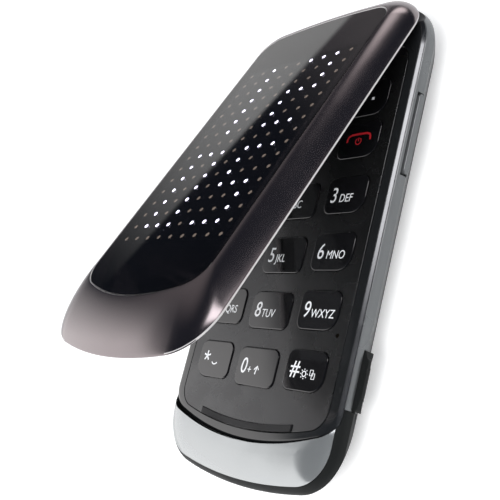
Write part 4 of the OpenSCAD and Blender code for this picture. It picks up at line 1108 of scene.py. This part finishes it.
floor_mesh = bpy.data.meshes.new("floor")
floor_mesh.from_pydata([(-FLOOR_HALF, -FLOOR_HALF, 0), (FLOOR_HALF, -FLOOR_HALF, 0),
                        (FLOOR_HALF, FLOOR_HALF, 0), (-FLOOR_HALF, FLOOR_HALF, 0)], [], [(0, 1, 2, 3)])
floor = linked(floor_mesh, "floor")
floor.location.z = -FLOOR_DROP
floor_finish = Finish("floor_white", (0.86, 0.86, 0.86), 0.9, grain=0.01, bump=0.0)
seen = floor_finish.node("ShaderNodeLightPath").outputs["Is Camera Ray"]
fill(floor_finish.shader, {"Emission Color": (1, 1, 1, 1)})
floor_finish.link(floor_finish.ramp(seen, 0, 1, 0, FLOOR_GLOW),
                  floor_finish.shader.inputs["Emission Strength"])
floor_mesh.materials.append(floor_finish.material)


class Sky(Nodes):
    """The world: white to the camera, an even glow on rough surfaces, a studio with edges in glossy ones."""

    def __init__(self):
        world = bpy.data.worlds.new("studio")
        bpy.context.scene.world = world
        world.use_nodes = True
        self.tree = world.node_tree
        self.direction = self.node("ShaderNodeTexCoord").outputs["Generated"]
        self.path = self.node("ShaderNodeLightPath")

    def facing(self, axis, low, high):
        """0 to 1 as the dot product with axis goes from low to high."""
        dot = self.node("ShaderNodeVectorMath")
        dot.operation = "DOT_PRODUCT"
        self.link(self.direction, dot.inputs[0])
        dot.inputs[1].default_value = axis
        return self.ramp(dot.outputs["Value"], low, high, kind="SMOOTHSTEP")

    def span(self, axis, low, high, soft):
        """1 where the direction's part along axis lies between low and high."""
        back = tuple(-a for a in axis)
        return self.times(self.facing(axis, low - soft, low + soft),
                          self.facing(back, -high - soft, -high + soft))

    def times(self, a, b):
        node = self.node("ShaderNodeMath")
        node.operation = "MULTIPLY"
        self.link(a, node.inputs[0])
        self.link(b, node.inputs[1])
        return node.outputs[0]


# colours of the light from each part of the sky
AMBIENT, WHITE = (0.75, 0.76, 0.78), (1.0, 1.0, 1.0)
DARK, DUSK, MAUVE = (0.03, 0.035, 0.05), (0.28, 0.26, 0.27), (0.42, 0.34, 0.36)
CARD, STRIP, BACK_BOX = (1.5, 1.47, 1.47), (4.2, 4.1, 4.2), (2.3, 2.15, 2.15)
RIGHT, LEFT, AWAY, NEAR, UP = (1, 0, 0), (-1, 0, 0), (0, 1, 0), (0, -1, 0), (0, 0, 1)
# normals of the planes in which the edges of the card and of the screen lie, and the back box's middle
CARD_EDGE, SCREEN_EDGE = (-0.6705, -0.2794, -0.6873), (-0.38, -0.2754, -0.883)
BACK_BOX_WAY = (-0.1, 0.96, 0.25)
STRIP_SOFT = 0.05

sky = Sky()
# each line lays one more patch over the studio so far
beside = sky.times(sky.facing(LEFT, 0.2, 0.6), sky.facing(UP, 0.25, 0.5))
studio = sky.mix(sky.times(beside, sky.facing(AWAY, 0.2, 0.5)), DARK, DUSK)
studio = sky.mix(sky.times(sky.facing(AWAY, 0.66, 0.8), sky.facing(LEFT, 0.3, 0.6)), studio, DUSK)
studio = sky.mix(sky.times(sky.facing(RIGHT, 0.62, 0.9), sky.facing(AWAY, 0.2, 0.45)), studio, MAUVE)
card = sky.times(sky.facing(CARD_EDGE, -0.01, 0.03), sky.facing(NEAR, -0.4, 0.0))
studio = sky.mix(sky.times(card, sky.facing(UP, -0.15, 0.1)), studio, CARD)
screen = sky.times(sky.facing(SCREEN_EDGE, -0.003, 0.003), sky.facing(AWAY, 0.42, 0.68))
studio = sky.mix(screen, studio, WHITE)
across = sky.span(RIGHT, 0.18, 0.76, STRIP_SOFT)
strip = sky.times(across, sky.times(sky.span(AWAY, 0.25, 0.54, STRIP_SOFT), sky.facing(UP, 0.25, 0.4)))
studio = sky.mix(strip, studio, STRIP)
studio = sky.mix(sky.facing(BACK_BOX_WAY, 0.97, 0.995), studio, BACK_BOX)
light = sky.mix(sky.path.outputs["Is Glossy Ray"], AMBIENT, studio)
light = sky.mix(sky.path.outputs["Is Camera Ray"], light, WHITE)
sky.link(light, sky.tree.nodes["Background"].inputs["Color"])

LIGHT_PLACE, LIGHT_SIZE, LIGHT_POWER = (0.25, -0.35, 0.6), 0.4, 4

key_data = bpy.data.lights.new("key_light", "AREA")
key_data.shape = "DISK"
key_data.size = LIGHT_SIZE
key_data.energy = LIGHT_POWER
key_light = linked(key_data, "key_light")
key_light.location = LIGHT_PLACE
key_light.rotation_euler = (-Vector(LIGHT_PLACE)).to_track_quat("-Z", "Y").to_euler()
key_light.visible_glossy = False
key_light.visible_camera = False

# place in millimetres, turn in degrees, both from the perspective fit to the photo
CAMERA_PLACE = (130.28, -46.62, 121.10)
CAMERA_TURN = (29.121, 46.605, 20.827)
CAMERA_LENS, CAMERA_SENSOR, CAMERA_NEAR, CAMERA_FAR = 58.93, 36, 0.01, 20

camera_data = bpy.data.cameras.new("camera")
camera_data.lens = CAMERA_LENS
camera_data.sensor_width = CAMERA_SENSOR
camera_data.clip_start = CAMERA_NEAR
camera_data.clip_end = CAMERA_FAR
camera = linked(camera_data, "camera")
camera.location = [c * MM for c in CAMERA_PLACE]
camera.rotation_euler = [radians(a) for a in CAMERA_TURN]
bpy.context.scene.camera = camera
bpy.context.scene.view_settings.view_transform = "Standard"
